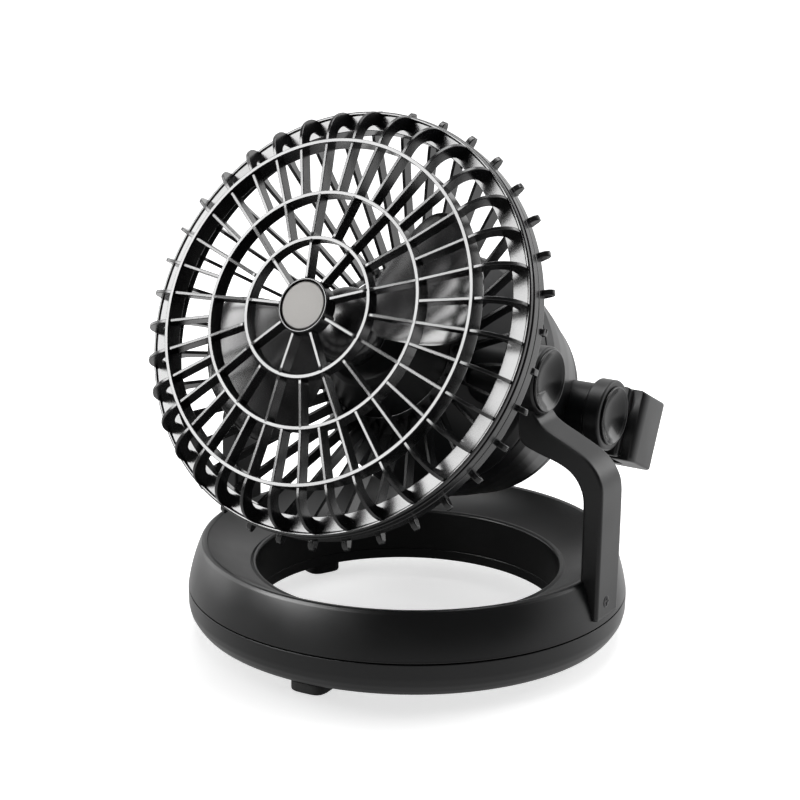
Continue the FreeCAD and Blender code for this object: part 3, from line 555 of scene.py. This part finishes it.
for side, node in ((1, "yoke_arm_right"), (-1, "yoke_arm_left")):
    outward = [face[::-side] for face in arm_faces]
    make_piece(node + "_shape", arm * (side, 1, 1), outward, "base", arm_plastic,
               stands_for=[node])

# Pivot caps: round covers pressed into the eyes of the arms, each a bowl inside a thin raised lip.
# They are turned from one section, in glossier plastic than the arms, and hide the ends of the pivot pins.
AXIS_GAP = 0.01 * MM
CAP_DEPTH = 3.9 * MM
BOWL_POWER = 2.2


def cap_outline(face):
    """Half of a cap's section as (radius, reach along the pivot): a bowl whose floor rises as a power of the
    share of its radius, inside a thin round lip that lies on the face around it."""
    share = np.linspace(0, 1, 22)[1:-1]
    floor, depth, width = face - CAP_DEPTH, CAP_DEPTH + 0.9 * MM, CAP_RADIUS + 0.3 * MM
    bowl = np.stack([width * share, floor + depth * share ** BOWL_POWER], axis=-1)
    lip = arc((CAP_RADIUS + 0.75 * MM, face + 0.4 * MM), 0.5 * MM, 150, 0, 8)
    back = floor - 0.9 * MM
    return path_of(
        (AXIS_GAP, back), (AXIS_GAP, floor), (4 * AXIS_GAP, floor), bowl, lip,
        (CAP_RADIUS + 1.25 * MM, face - 0.1 * MM), (CAP_RADIUS, face - 0.2 * MM), (CAP_RADIUS, back),
    )


cap_plastic = moulded("cap_black_abs", (0.0050, 0.0052, 0.0058, 1.0), 0.24, 0.0005, 0.00001)


def pair_about(point, outline, steps=96):
    """Two turned pieces about a line along X through a point, one each side and mirror images."""
    one, one_faces = turned(outline, about_line(point), steps)
    return gathered((one, one_faces[:, ::-1]), (one * (-1, 1, 1), one_faces))


points, faces = pair_about(PIVOT, cap_outline(EYE_OUTER + 0.1 * MM))
make_piece("pivot_cap_pair", points, faces, "base", cap_plastic, stands_for=["pivot_caps"])

# Arm screws: black countersunk screws with a cross recess, one through the foot of each arm into the ring.
# Black steel; each head is a domed grid of radius and angle that sinks along the cross.
SCREW_HEIGHT = 30.5 * MM
SCREW_RADIUS = 2.6 * MM
SCREW_STEPS = 96
CROSS_HALF, CROSS_REACH, CROSS_DEPTH = 0.42 * MM, 1.75 * MM, 1.1 * MM


def screw_face(side):
    """A round head whose face sinks where the smaller of the two distances from a cross's lines is under
    its half width: depth times a smooth step of that distance, over a polar grid."""
    radius = np.linspace(0, 1, 22)[:, None] * SCREW_RADIUS
    angle = np.linspace(0, 2 * math.pi, SCREW_STEPS, endpoint=False)[None, :]
    y, z = radius * np.cos(angle), radius * np.sin(angle)
    near, far = np.minimum(np.abs(y), np.abs(z)), np.maximum(np.abs(y), np.abs(z))
    cross = np.clip((CROSS_HALF - near) / (0.16 * MM), 0, 1) * np.clip((CROSS_REACH - far) / (0.2 * MM), 0, 1)
    dome = 0.25 * MM * np.sqrt(np.clip(1 - (radius / SCREW_RADIUS) ** 2, 0, 1))
    rim = np.full((1, SCREW_STEPS), ARM_OUTER - 1.4 * MM)
    height = np.concatenate([ARM_OUTER + dome - CROSS_DEPTH * cross, rim, rim])
    y = np.concatenate([y, y[-1:], 0 * y[-1:]])
    z = np.concatenate([z, z[-1:], 0 * z[-1:]])
    faces = grid_faces(len(height), SCREW_STEPS, False, True)
    return np.stack([side * height, y, SCREW_HEIGHT + z], axis=-1), faces[:, ::side]


black_steel = moulded("black_oxide_steel", (0.02, 0.02, 0.022, 1.0), 0.3, 0.0006, 0.00001, metallic=0.8)
points, faces = gathered(screw_face(1), screw_face(-1))
make_piece("arm_screws", points, faces, "base", black_steel, stands_for=["yoke_screws"])

# Front cage: one moulding of thin blades that arch out from a hub over three rings and back to a broad rim.
# Semi-gloss black polypropylene, whose rounded edges catch the light as grey lines. Each kind of blade is
# swept once and copied round the fan's axis, and the rings are turned.
FAN_AXIS = np.array(joints["fan_spin"]["axis"], float)
FAN_AXIS /= np.linalg.norm(FAN_AXIS)
HEAD_UP = np.cross((1.0, 0, 0), FAN_AXIS) * -1
HUB_RADIUS, BADGE_RADIUS, HUB_FRONT = 10.9 * MM, 9.9 * MM, 87.0 * MM
RINGS = ((27.5 * MM, 84.6 * MM, 5.5 * MM), (46.8 * MM, 81.4 * MM, 7.0 * MM), (68.6 * MM, 80.2 * MM, 8.5 * MM))
RING_THICK, RIB_THICK, RIB_DEPTH = 1.5 * MM, 1.4 * MM, 5.5 * MM
ARCH_MIDDLE, ARCH_RADIUS = np.array([71.0, 65.2]) * MM, 14.0 * MM
RIM_RADIUS, RIM_INNER = 86.3 * MM, 78.0 * MM
FIRST_RIB = 1.1
OUTER_RIBS = FIRST_RIB + 10 * np.arange(36)
CAGE_STEPS = 288


def head_place(x, depth, rise):
    """A place on the head from its distance to the right, in front of the pivot and above the fan's axis."""
    return PIVOT + x[..., None] * (1.0, 0, 0) + rise[..., None] * HEAD_UP + depth[..., None] * FAN_AXIS


def on_head(radius, depth, angle):
    """A place on the head from its distance from the fan's axis, its distance in front of the pivot, and
    its angle from the right-hand side up towards the head's top."""
    return head_place(radius * np.cos(angle), depth + 0 * angle, radius * np.sin(angle))


def blades(front_edge, back_edge, thickness, phases, rounding=0.22 * MM):
    """Copies of one thin blade standing along the fan's axis: its edges are given as (radius, depth), its
    thickness runs across it, and each copy is turned to a phase in degrees."""
    flat_points, faces = strip_between(front_edge, back_edge, thickness, rounding,
                                       lambda *parts: np.stack(parts, axis=-1), 3)
    radius, depth, offset = (flat_points[..., axis].ravel() for axis in range(3))
    turns = np.radians(np.asarray(phases))[:, None]
    x = radius * np.cos(turns) - offset * np.sin(turns)
    rise = radius * np.sin(turns) + offset * np.cos(turns)
    points = head_place(x, depth + 0 * x, rise)
    return gathered(*[(copy, faces) for copy in points])


def ring_band(radius, front, depth, thickness):
    """A ring of rectangular section with rounded corners, its front face at a depth."""
    outline = [(radius - thickness / 2, front), (radius - thickness / 2, front - depth),
               (radius + thickness / 2, front - depth), (radius + thickness / 2, front)]
    return turned(softened(outline, 0.18 * MM, 3), on_head, 216)


hub_start = (HUB_RADIUS - 1 * MM, HUB_FRONT - 0.8 * MM)
ring_fronts = [(radius, front - 0.03 * MM) for radius, front, _ in RINGS]
arch_front = path_of(
    ring_fronts[1], (ARCH_MIDDLE[0] - 2.4 * MM, ARCH_MIDDLE[1] + ARCH_RADIUS + 0.2 * MM),
    arc(ARCH_MIDDLE, ARCH_RADIUS, 88, -26, 26),
)
arch_back = path_of(
    (RINGS[1][0], RINGS[1][1] - 0.3 * MM - RIB_DEPTH),
    (ARCH_MIDDLE[0] - 2.4 * MM, ARCH_MIDDLE[1] + ARCH_RADIUS - RIB_DEPTH),
    arc(ARCH_MIDDLE, ARCH_RADIUS - RIB_DEPTH, 88, -44, 26),
)


def simple_rib(start, end, phases):
    """Straight blades between two places on the cage."""
    front = evenly(np.array([start, end]), 8)
    return blades(front, front - (0, RIB_DEPTH), RIB_THICK, phases)


rim_outline = path_of(
    beside(RIM_INNER, 0, (0, 59.2), (0, 64.6)),
    beside(RIM_RADIUS, 0, (-1.9, 64.6), (-1.7, 65.3), (-0.9, 65.4), (-0.4, 64.9), (-0.3, 63.5), (-0.9, 63.3),
           (-0.9, 62.9), (0, 62.7), (0, 59.2)),
)
cup_outline = path_of(
    beside(AXIS_GAP, HUB_FRONT, (0, -2.4), (0, -6.5)),
    beside(HUB_RADIUS, HUB_FRONT, (0, -6.5), (0, -0.3), (-0.3, 0)),
    beside(BADGE_RADIUS, HUB_FRONT, (0.2, 0), (0.15, -2.4)),
)
cage_plastic = moulded("semigloss_black_polypropylene", (0.0050, 0.0053, 0.0060, 1.0), 0.22, 0.0009, 0.00002,
                       specular=0.8)
points, faces = gathered(
    simple_rib(hub_start, ring_fronts[0], FIRST_RIB + 20 + 40 * np.arange(9)),
    simple_rib(ring_fronts[0], ring_fronts[1], FIRST_RIB + 20 * np.arange(18)),
    blades(evenly(arch_front, 40), evenly(arch_back, 40), RIB_THICK, OUTER_RIBS),
    *[ring_band(radius, front, depth, RING_THICK) for radius, front, depth in RINGS],
    turned(softened(rim_outline, 0.25 * MM), on_head, CAGE_STEPS),
    turned(softened(cup_outline, 0.2 * MM), on_head, 96),
)
make_piece("cage_front", points, faces, "head", cage_plastic, stands_for=["front_grille"])

# Hub disc: a plain satin grey disc glued into the hub's cup, very slightly domed, with a soft bevelled edge.
# It is spun aluminium, turned from its section, so its brushing runs round its middle.
def spun_metal(name, colour, roughness, centre, axis_turn):
    """Spun aluminium: rings of fine waves about the disc's middle, on mapped Object coordinates, vary the
    roughness and raise faint circular lines."""
    material, tree, shader, where = new_material(name, {"Base Color": colour, "Metallic": 0.5})
    mapping = tree.nodes.new("ShaderNodeMapping")
    mapping.vector_type = "TEXTURE"
    preset(mapping, {"Location": centre, "Rotation": axis_turn})
    tree.links.new(where, mapping.inputs["Vector"])
    rings = tree.nodes.new("ShaderNodeTexWave")
    rings.wave_type = "RINGS"
    rings.rings_direction = "Z"
    preset(rings, {"Scale": 900.0, "Distortion": 3.0})
    tree.links.new(mapping.outputs["Vector"], rings.inputs["Vector"])
    spread = mapped(tree, rings.outputs["Fac"], (0, 1), (roughness - 0.06, roughness + 0.06))
    tree.links.new(spread, shader.inputs["Roughness"])
    raised(tree, shader, rings.outputs["Fac"], 0.15, 0.00001)
    return material


badge_middle = PIVOT + HUB_FRONT * FAN_AXIS
badge_metal = spun_metal("satin_grey_aluminium", (0.082, 0.079, 0.075, 1.0), 0.42, badge_middle.tolist(),
                         (math.atan2(-FAN_AXIS[1], FAN_AXIS[2]), 0, 0))
badge_outline = path_of(
    beside(AXIS_GAP, HUB_FRONT, (0, -2.3)),
    beside(BADGE_RADIUS, HUB_FRONT, (0, -2.3), (0, -0.9), (-0.6, -0.35), (-4, -0.18)),
    beside(4 * AXIS_GAP, HUB_FRONT, (0, -0.05)), beside(AXIS_GAP, HUB_FRONT, (0, -0.05)),
)
points, faces = turned(softened(badge_outline, 0.3 * MM), on_head, 128)
make_piece("hub_disc", points, faces, "head", badge_metal, stands_for=["hub_badge"])

# Rear cage: thirty-six blades from a flange behind the rim back to a collar on the casing's cone.
# Moulded like the front cage, with short teeth that stand out behind the flange, one at each blade. Beside
# the arms the teeth are trimmed, so that the head can turn down past them.
COLLAR_BACK, COLLAR_FRONT = 16.0 * MM, 22.0 * MM
NOSE_RADIUS, NOSE_FRONT, CONE_SLOPE = 20.5 * MM, 38.0 * MM, 0.575


def cone_at(depth):
    """The radius of the casing's cone: the nose's radius plus the slope times the distance behind it."""
    return NOSE_RADIUS + (NOSE_FRONT - depth) * CONE_SLOPE


guard_front = eased(path_of((cone_at(COLLAR_FRONT) + 2 * MM, COLLAR_FRONT), (57.0 * MM, 40.6 * MM),
                            (76.5 * MM, 55.0 * MM), (80.5 * MM, 57.4 * MM), (86.1 * MM, 55.0 * MM)))
guard_back = eased(path_of((cone_at(COLLAR_BACK) + 2 * MM, COLLAR_BACK), (58.5 * MM, 36.2 * MM),
                           (78.0 * MM, 49.8 * MM), (82.0 * MM, 50.0 * MM), (86.1 * MM, 50.2 * MM)))
tooth_front = np.array([(82.0, 55.6), (86.3, 55.6), (88.6, 55.2), (90.0, 54.0)]) * MM
tooth_back = np.array([(82.0, 51.0), (86.3, 51.2), (88.6, 51.6), (90.0, 52.4)]) * MM
TOOTH_THICK = 2.4 * MM
TRIMMED = ARM_INNER - 0.5 * MM
REAR_RIBS = OUTER_RIBS + 5
flange_outline = [(RIM_INNER + 1.5 * MM, 59 * MM), (RIM_INNER + 1.5 * MM, 54 * MM), (RIM_RADIUS, 54 * MM),
                  (RIM_RADIUS, 59 * MM)]
collar_front_radius, collar_back_radius = cone_at(COLLAR_FRONT), cone_at(COLLAR_BACK)
collar_ring = [(collar_front_radius + 0.3 * MM, COLLAR_FRONT), (collar_back_radius + 0.3 * MM, COLLAR_BACK),
               (collar_back_radius + 3.4 * MM, COLLAR_BACK),
               (collar_front_radius + 4 * MM, COLLAR_FRONT - 3 * MM)]
teeth, teeth_faces = blades(tooth_front, tooth_back, TOOTH_THICK, REAR_RIBS, 0.4 * MM)
teeth[:, 0] = np.clip(teeth[:, 0], -TRIMMED, TRIMMED)
points, faces = gathered(
    blades(evenly(guard_front, 30), evenly(guard_back, 30), RIB_THICK, REAR_RIBS),
    (teeth, teeth_faces),
    turned(softened(flange_outline, 0.4 * MM), on_head, CAGE_STEPS),
    turned(softened(collar_ring, 0.5 * MM), on_head, 144),
)
make_piece("cage_rear", points, faces, "head", cage_plastic, stands_for=["rear_grille"])

# Impeller: two broad, twisted paddles and a round polished spinner, pressed on the motor's shaft.
# Glossy black plastic; each paddle is a thin grid with a rounded tip, and the spinner is turned.
ROTOR_MIDDLE = 56.0 * MM
SPINNER_RADIUS = 16.0 * MM
ROTOR_RADIUS = 63.5 * MM


def paddle(phase, rows=36, columns=41):
    """A blade over radius and width: half its angle grows from the spinner and closes to zero at the tip as
    a superellipse; its depth is the sine of a pitch that eases off outwards, plus a slight camber; the
    section is a thin lens, upper and lower skins meeting at its edges."""
    share = (1 - np.cos(np.linspace(0, math.pi, rows))) / 2
    radius = (SPINNER_RADIUS - 4 * MM) + share * (ROTOR_RADIUS - SPINNER_RADIUS + 4 * MM)
    opening = np.radians(46 - 12 * share) * (1 - share ** 9) ** 0.34 * np.clip(0.72 + 1.6 * share, 0, 1)
    loop = np.linspace(0, 2 * math.pi, 2 * columns, endpoint=False)[None, :]
    across, skin = np.cos(loop), np.sin(loop)
    width = radius[:, None] * opening[:, None]
    pitch = np.radians(34 - 22 * share)[:, None]
    depth = (ROTOR_MIDDLE - width * across * np.sin(pitch) * 0.72
             + 2.4 * MM * (1 - across ** 2) * share[:, None] + 0.85 * MM * skin)
    angle = math.radians(phase) + opening[:, None] * across * np.cos(pitch) ** 0.3
    points = on_head(radius[:, None] + 0 * angle, depth, angle)
    root = np.repeat(points[:1].mean(axis=1, keepdims=True), loop.size, axis=1)
    return np.concatenate([root, points]), grid_faces(rows + 1, loop.size, False, True)[:, ::-1]


spinner_outline = path_of(
    (1.5 * MM, 48.2 * MM), (SPINNER_RADIUS - 0.8 * MM, 48.2 * MM), (SPINNER_RADIUS, 49.4 * MM),
    (SPINNER_RADIUS, 54.5 * MM), arc((0, 0), 1.0, 8, 89, 22) * (SPINNER_RADIUS, 10.3 * MM) + (0, 54.5 * MM),
)
polished_black = moulded("polished_black_plastic", (0.0040, 0.0043, 0.0052, 1.0), 0.24, 0.002, 0.000006, 0.03,
                         specular=0.8)
points, faces = gathered(paddle(32), paddle(212), turned(spinner_outline, on_head, 128))
make_piece("fan_rotor", points, faces, "fan", polished_black, stands_for=["impeller"])

# Casing, front shell: a small nose round the motor, a plain cone behind it and the two pivot bosses. Satin
# black moulding, turned from its section, that ends at a fine joint with the rear shell.
JOINT = -22.0 * MM
BOSS_RADIUS, BOSS_END = 14.0 * MM, 56.0 * MM
DRUM_RADIUS = 53.0 * MM
BACK_ROUND, BACK = 12.0 * MM, -81.0 * MM
BORE = 4.05 * MM

front_outline = path_of(
    (8.5 * MM, NOSE_FRONT), beside(NOSE_RADIUS, NOSE_FRONT, (-2.2, 0), (0, -1.6)),
    *[(cone_at(depth), depth) for depth in (26 * MM, 10 * MM, -8 * MM)],
    beside(DRUM_RADIUS, 0, (-1.4, -15)),
    beside(DRUM_RADIUS, JOINT, (-0.1, 1.8), (0, 0.5), (-0.4, 0.15), (-2.6, 0.15)),
    *[(cone_at(depth) - 2.6 * MM, depth) for depth in (-8 * MM, 26 * MM)],
    beside(NOSE_RADIUS, NOSE_FRONT, (-2.6, -3)), beside(0, NOSE_FRONT, (8.5, -3)),
)
boss_outline = path_of(
    (BORE, 44 * MM), (BORE, BOSS_END), beside(BOSS_RADIUS, BOSS_END, (-0.8, 0), (0, -0.8)),
    beside(BOSS_RADIUS, 0, (0, 36), (-2, 34)), beside(0, 0, (8, 34), (8, 44)),
)
casing_plastic = moulded("casing_black_abs", (0.0056, 0.0058, 0.0066, 1.0), 0.38, 0.00035, 0.00002,
                         specular=0.25)
points, faces = gathered(turned(softened(front_outline, 0.5 * MM)[::-1], on_head, 240),
                         pair_about(PIVOT, softened(boss_outline, 0.3 * MM)))
make_piece("casing_front", points, faces, "head", casing_plastic, stands_for=["motor_housing"])

# Casing, rear shell: the drum over the two cells, with rounded back corners, the round barrels that carry the
# bail and a flat pad for the switches. The same plastic as the front shell, turned and then flattened there.
HANDLE_BEHIND = 67.4 * MM
HANDLE_PIVOT = PIVOT - HANDLE_BEHIND * FAN_AXIS
BARREL_RADIUS, BARREL_END = 12.8 * MM, 58.0 * MM
COVER_RADIUS = 35.5 * MM
SEAT_RISE, SEAT_MIDDLE, SEAT_HALF, SEAT_FADE = 49.5 * MM, -40.0 * MM, (22.0 * MM, 13.0 * MM), 1.5 * MM

rear_outline = path_of(
    beside(DRUM_RADIUS, JOINT, (-2.6, -0.15), (-0.3, -0.15), (0.1, -0.6)),
    beside(0, 0, (54.0, -28), (52.6, -38), (49.9, -52), (46.6, -66)),
    arc((45.8 * MM - BACK_ROUND, BACK + BACK_ROUND), BACK_ROUND, 0, -80, 14),
    beside(COVER_RADIUS, BACK, (0.9, 0), (0.3, 0.5), (0.3, 3.2), (-1.7, 3.3), (-1.7, 5.4)),
    beside(0, BACK, (42, 8)), beside(0, 0, (44, -66), (51.4, -28)),
)
barrel_outline = path_of(
    (BORE, 44 * MM), (BORE, BARREL_END), beside(BARREL_RADIUS, BARREL_END, (-0.6, 0), (0, -0.6)),
    beside(BARREL_RADIUS, 0, (0, 42)), beside(0, 0, (8, 42)),
)


def divided(outline, longest):
    """The same closed outline with points added on its sides, so that no side is longer than a length."""
    sides = []
    for here, there in zip(outline, np.roll(outline, -1, axis=0)):
        count = max(1, math.ceil(np.linalg.norm(there - here) / longest))
        sides.append(here + np.linspace(0, 1, count, endpoint=False)[:, None] * (there - here))
    return np.concatenate(sides)


def with_seat(points):
    """The shell's points with a flat pad for the switches: over a rectangle on its top the outer skin is set
    to one height and the inner skin is kept under it, both fading out towards the rectangle's edge."""
    offset = points - PIVOT
    x, depth, rise = offset[..., 0], offset @ FAN_AXIS, offset @ HEAD_UP
    share = np.clip((SEAT_HALF[0] - np.abs(x)) / SEAT_FADE, 0, 1)
    share *= np.clip((SEAT_HALF[1] - np.abs(depth - SEAT_MIDDLE)) / SEAT_FADE, 0, 1) * (rise > 0)
    skins = np.interp(-depth, [28 * MM, 66 * MM], [52.7 * MM, 45.3 * MM])
    is_outer = np.hypot(x, rise) > skins
    wanted = np.where(is_outer, SEAT_RISE, np.minimum(rise, SEAT_RISE - 1.5 * MM))
    return points + (share * (wanted - rise))[..., None] * HEAD_UP


drum, drum_faces = turned(divided(softened(rear_outline, 0.5 * MM), 1.4 * MM)[::-1], on_head, 240)
points, faces = gathered((with_seat(drum), drum_faces),
                         pair_about(HANDLE_PIVOT, softened(barrel_outline, 0.3 * MM)))
make_piece("casing_rear", points, faces, "head", casing_plastic,
           stands_for=["battery_housing"])

# Battery cover: a round door in the casing's back that turns an eighth of a turn with a coin in its slot.
# Slightly dished, with a ring of fine grip teeth round its edge, raised over a grid of radius and angle.
TEETH, TOOTH_HEIGHT = 48, 0.3 * MM
SLOT_HALF, SLOT_REACH, SLOT_DEPTH = 1.4 * MM, 13 * MM, 1.4 * MM


def door_points(steps=288, rows=40):
    """A disc over radius and angle: its back face is flat with a shallow dish, sinks in a straight slot
    across the middle, and near its edge a cosine of the angle raises forty-eight small teeth."""
    share = np.linspace(0, 1, rows)[:, None]
    angle = np.linspace(0, 2 * math.pi, steps, endpoint=False)[None, :]
    radius = share * COVER_RADIUS
    across, along = radius * np.sin(angle), radius * np.cos(angle)
    slot = np.clip((SLOT_HALF - np.abs(across)) / (0.5 * MM), 0, 1)
    slot = slot * np.clip((SLOT_REACH - np.abs(along)) / MM, 0, 1)
    dish = 0.5 * MM * np.clip(1 - share / 0.78, 0, 1) ** 0.5
    teeth = TOOTH_HEIGHT * (0.5 + 0.5 * np.cos(TEETH * angle)) * np.clip((share - 0.86) / 0.02, 0, 1)
    rim = BACK + np.array([0.6, 3.0, 3.0])[:, None] * MM + 0 * angle
    depth = np.concatenate([BACK + dish + SLOT_DEPTH * slot + teeth, rim])
    radius = np.concatenate([radius + 0 * angle, COVER_RADIUS + 0 * rim[:2], 0 * rim[2:]])
    return on_head(radius, depth, angle + 0 * depth), grid_faces(rows + 3, steps, False, True)


door_plastic = moulded("door_black_abs", (0.0060, 0.0062, 0.0070, 1.0), 0.42, 0.0004, 0.00003)
points, faces = door_points()
make_piece("battery_door", points, faces[:, ::-1], "cover", door_plastic,
           stands_for=["battery_cover"])

# Bail: the square carrying handle behind the casing, one moulding of two flat legs, a cross bar and two round
# knuckles that turn on the barrels. Its outer corners are rounded and its legs are as tall as the knuckles.
LEG_INNER, LEG_OUTER, KNUCKLE_OUTER = 58.5 * MM, 70.0 * MM, 66.4 * MM
KNUCKLE_RADIUS, BAIL_END, BAIL_BAR, BAIL_HALF = 15.6 * MM, -114.0 * MM, 8.0 * MM, 15.8 * MM
LEG_START = -HANDLE_BEHIND - 18.0 * MM
WEB_FRONT, WEB_BACK = -80.0 * MM, LEG_START - 2 * MM

corner_outer, corner_inner = 4.0 * MM, 1.5 * MM
outer_half = path_of((LEG_OUTER, LEG_START), (LEG_OUTER, BAIL_END + 20 * MM),
                     arc((LEG_OUTER - corner_outer, BAIL_END + corner_outer), corner_outer, 0, -90, 9))
inner_half = path_of(
    (LEG_INNER, LEG_START), (LEG_INNER, BAIL_END + 20 * MM),
    arc((LEG_INNER - corner_inner, BAIL_END + BAIL_BAR + corner_inner), corner_inner, 0, -90, 9))
outer_line = np.concatenate([outer_half, outer_half[::-1] * (-1, 1)])
inner_line = np.concatenate([inner_half, inner_half[::-1] * (-1, 1)])
bar, bar_faces = strip_between(outer_line, inner_line, 2 * BAIL_HALF, 1.1 * MM, head_place)
web_outer = np.array([(KNUCKLE_OUTER - MM, WEB_FRONT), (KNUCKLE_OUTER - MM, WEB_BACK)])
web_inner = np.array([(LEG_INNER, WEB_FRONT), (LEG_INNER, WEB_BACK)])
webs = []
for side in (1, -1):
    web, web_faces = strip_between(
        web_outer * (side, 1), web_inner * (side, 1), 2 * BAIL_HALF - 0.6 * MM, 1.0 * MM, head_place)
    webs.append((web, [face[::side] for face in web_faces]))
knuckle_outline = path_of(
    (4.0 * MM, LEG_INNER), beside(KNUCKLE_RADIUS, LEG_INNER, (-0.6, 0), (0, 0.6)),
    beside(KNUCKLE_RADIUS, KNUCKLE_OUTER, (0, -1.0), (-0.4, -0.3), (-1.1, 0)),
    beside(CAP_RADIUS, KNUCKLE_OUTER, (0.5, -0.1)),
    (CAP_RADIUS + 0.3 * MM, KNUCKLE_OUTER - CAP_FLOOR), (4.0 * MM, KNUCKLE_OUTER - CAP_FLOOR),
)
bail_plastic = moulded("bail_black_abs", (0.0062, 0.0064, 0.0072, 1.0), 0.38, 0.00035, 0.00003)
points, faces = gathered((bar, bar_faces), *webs,
                         pair_about(HANDLE_PIVOT, softened(knuckle_outline, 0.25 * MM)[::-1]))
make_piece("bail_shape", points, faces, "bail", bail_plastic, stands_for=["handle"])

# Bail caps: the same round covers as on the arms, pressed into the knuckles over the ends of the pins.
# They are turned from the same section, in the same plastic.
points, faces = pair_about(HANDLE_PIVOT, cap_outline(KNUCKLE_OUTER + 0.1 * MM))
make_piece("bail_cap_pair", points, faces, "bail", cap_plastic, stands_for=["handle_caps"])

# Pins: four bright steel pins with small chamfers, in the arms' eyes and in the bail's knuckles.
# They are turned, and end under the bowls of the caps.
PIN_RADIUS = 4.0 * MM
PIN_SUNK = 4.3 * MM
bright_steel = moulded("bright_steel", (0.52, 0.53, 0.54, 1.0), 0.24, 0.0005, 0.00001, metallic=1.0)
for point, start, end, body, node in (
    (PIVOT, 47 * MM, EYE_OUTER - PIN_SUNK, "base", "pivot_pins"),
    (HANDLE_PIVOT, 45 * MM, KNUCKLE_OUTER - PIN_SUNK, "bail", "handle_pins"),
):
    pin_outline = path_of((AXIS_GAP, start), (PIN_RADIUS - 0.3 * MM, start), (PIN_RADIUS, start + 0.3 * MM),
                          (PIN_RADIUS, end - 0.3 * MM), (PIN_RADIUS - 0.3 * MM, end), (AXIS_GAP, end))
    points, faces = pair_about(point, pin_outline[::-1])
    make_piece(node + "_turned", points, faces, body, bright_steel, stands_for=[node])

# Motor and cells: the motor with its shaft and plate, and the tray with its contacts and the two cells.
# They lie inside the casing; their solids are kept, in bright steel, dull black plastic and a dark jacket.
inner_plastic = moulded("inner_black_abs", (0.020, 0.020, 0.021, 1.0), 0.55, 0.0005, 0.00003)
cell_jacket = moulded("cell_jacket_film", (0.05, 0.055, 0.06, 1.0), 0.22, 0.003, 0.00001)
for node in ("motor_can", "motor_shaft", "battery_contacts"):
    finished(node, bright_steel)
for node in ("motor_plate", "battery_tray"):
    finished(node, inner_plastic)
finished("battery_cells", cell_jacket)

# Switches: a small matt plate on the flat pad of the rear shell, with two ribbed sliding knobs.
# The left one runs the fan and the right one the lamps; the plate's solid is kept.
switch_plastic = moulded("switch_black_abs", (0.022, 0.022, 0.023, 1.0), 0.5, 0.0004, 0.00003)
finished("switch_plate", switch_plastic)
KNOB_DEPTH, KNOB_RISE, KNOB_HALF = -37.3 * MM, 51.4 * MM, (2.0 * MM, 3.0 * MM, 2.2 * MM)
RIDGE_HEIGHT = 0.35 * MM


def ribbed_knob(middle, half, ridges=5, rows=49, steps=48):
    """A rounded block whose top is raised by a row of ridges: a sine of the place along its length, faded
    out towards its edges."""
    block_points, knob_faces = rounded_block(half, 0.3, rows, steps)
    x, depth, rise = (block_points[..., axis] for axis in range(3))
    fade = np.clip(1 - (np.abs(x) / half[0]) ** 6, 0, 1) * np.clip(rise / half[2], 0, 1) ** 4
    rise = rise - RIDGE_HEIGHT * fade * (0.5 + 0.5 * np.cos(2 * math.pi * ridges * depth / (2 * half[1])))
    return head_place(middle[0] + x, middle[1] + depth, middle[2] + rise), knob_faces[:, ::-1]


for node, body_name, x in (("fan_switch", "fan_knob", -9 * MM), ("light_switch", "light_knob", 9 * MM)):
    points, faces = ribbed_knob((x, KNOB_DEPTH, KNOB_RISE), KNOB_HALF)
    make_piece(node + "_knob", points, faces, body_name, switch_plastic, stands_for=[node])
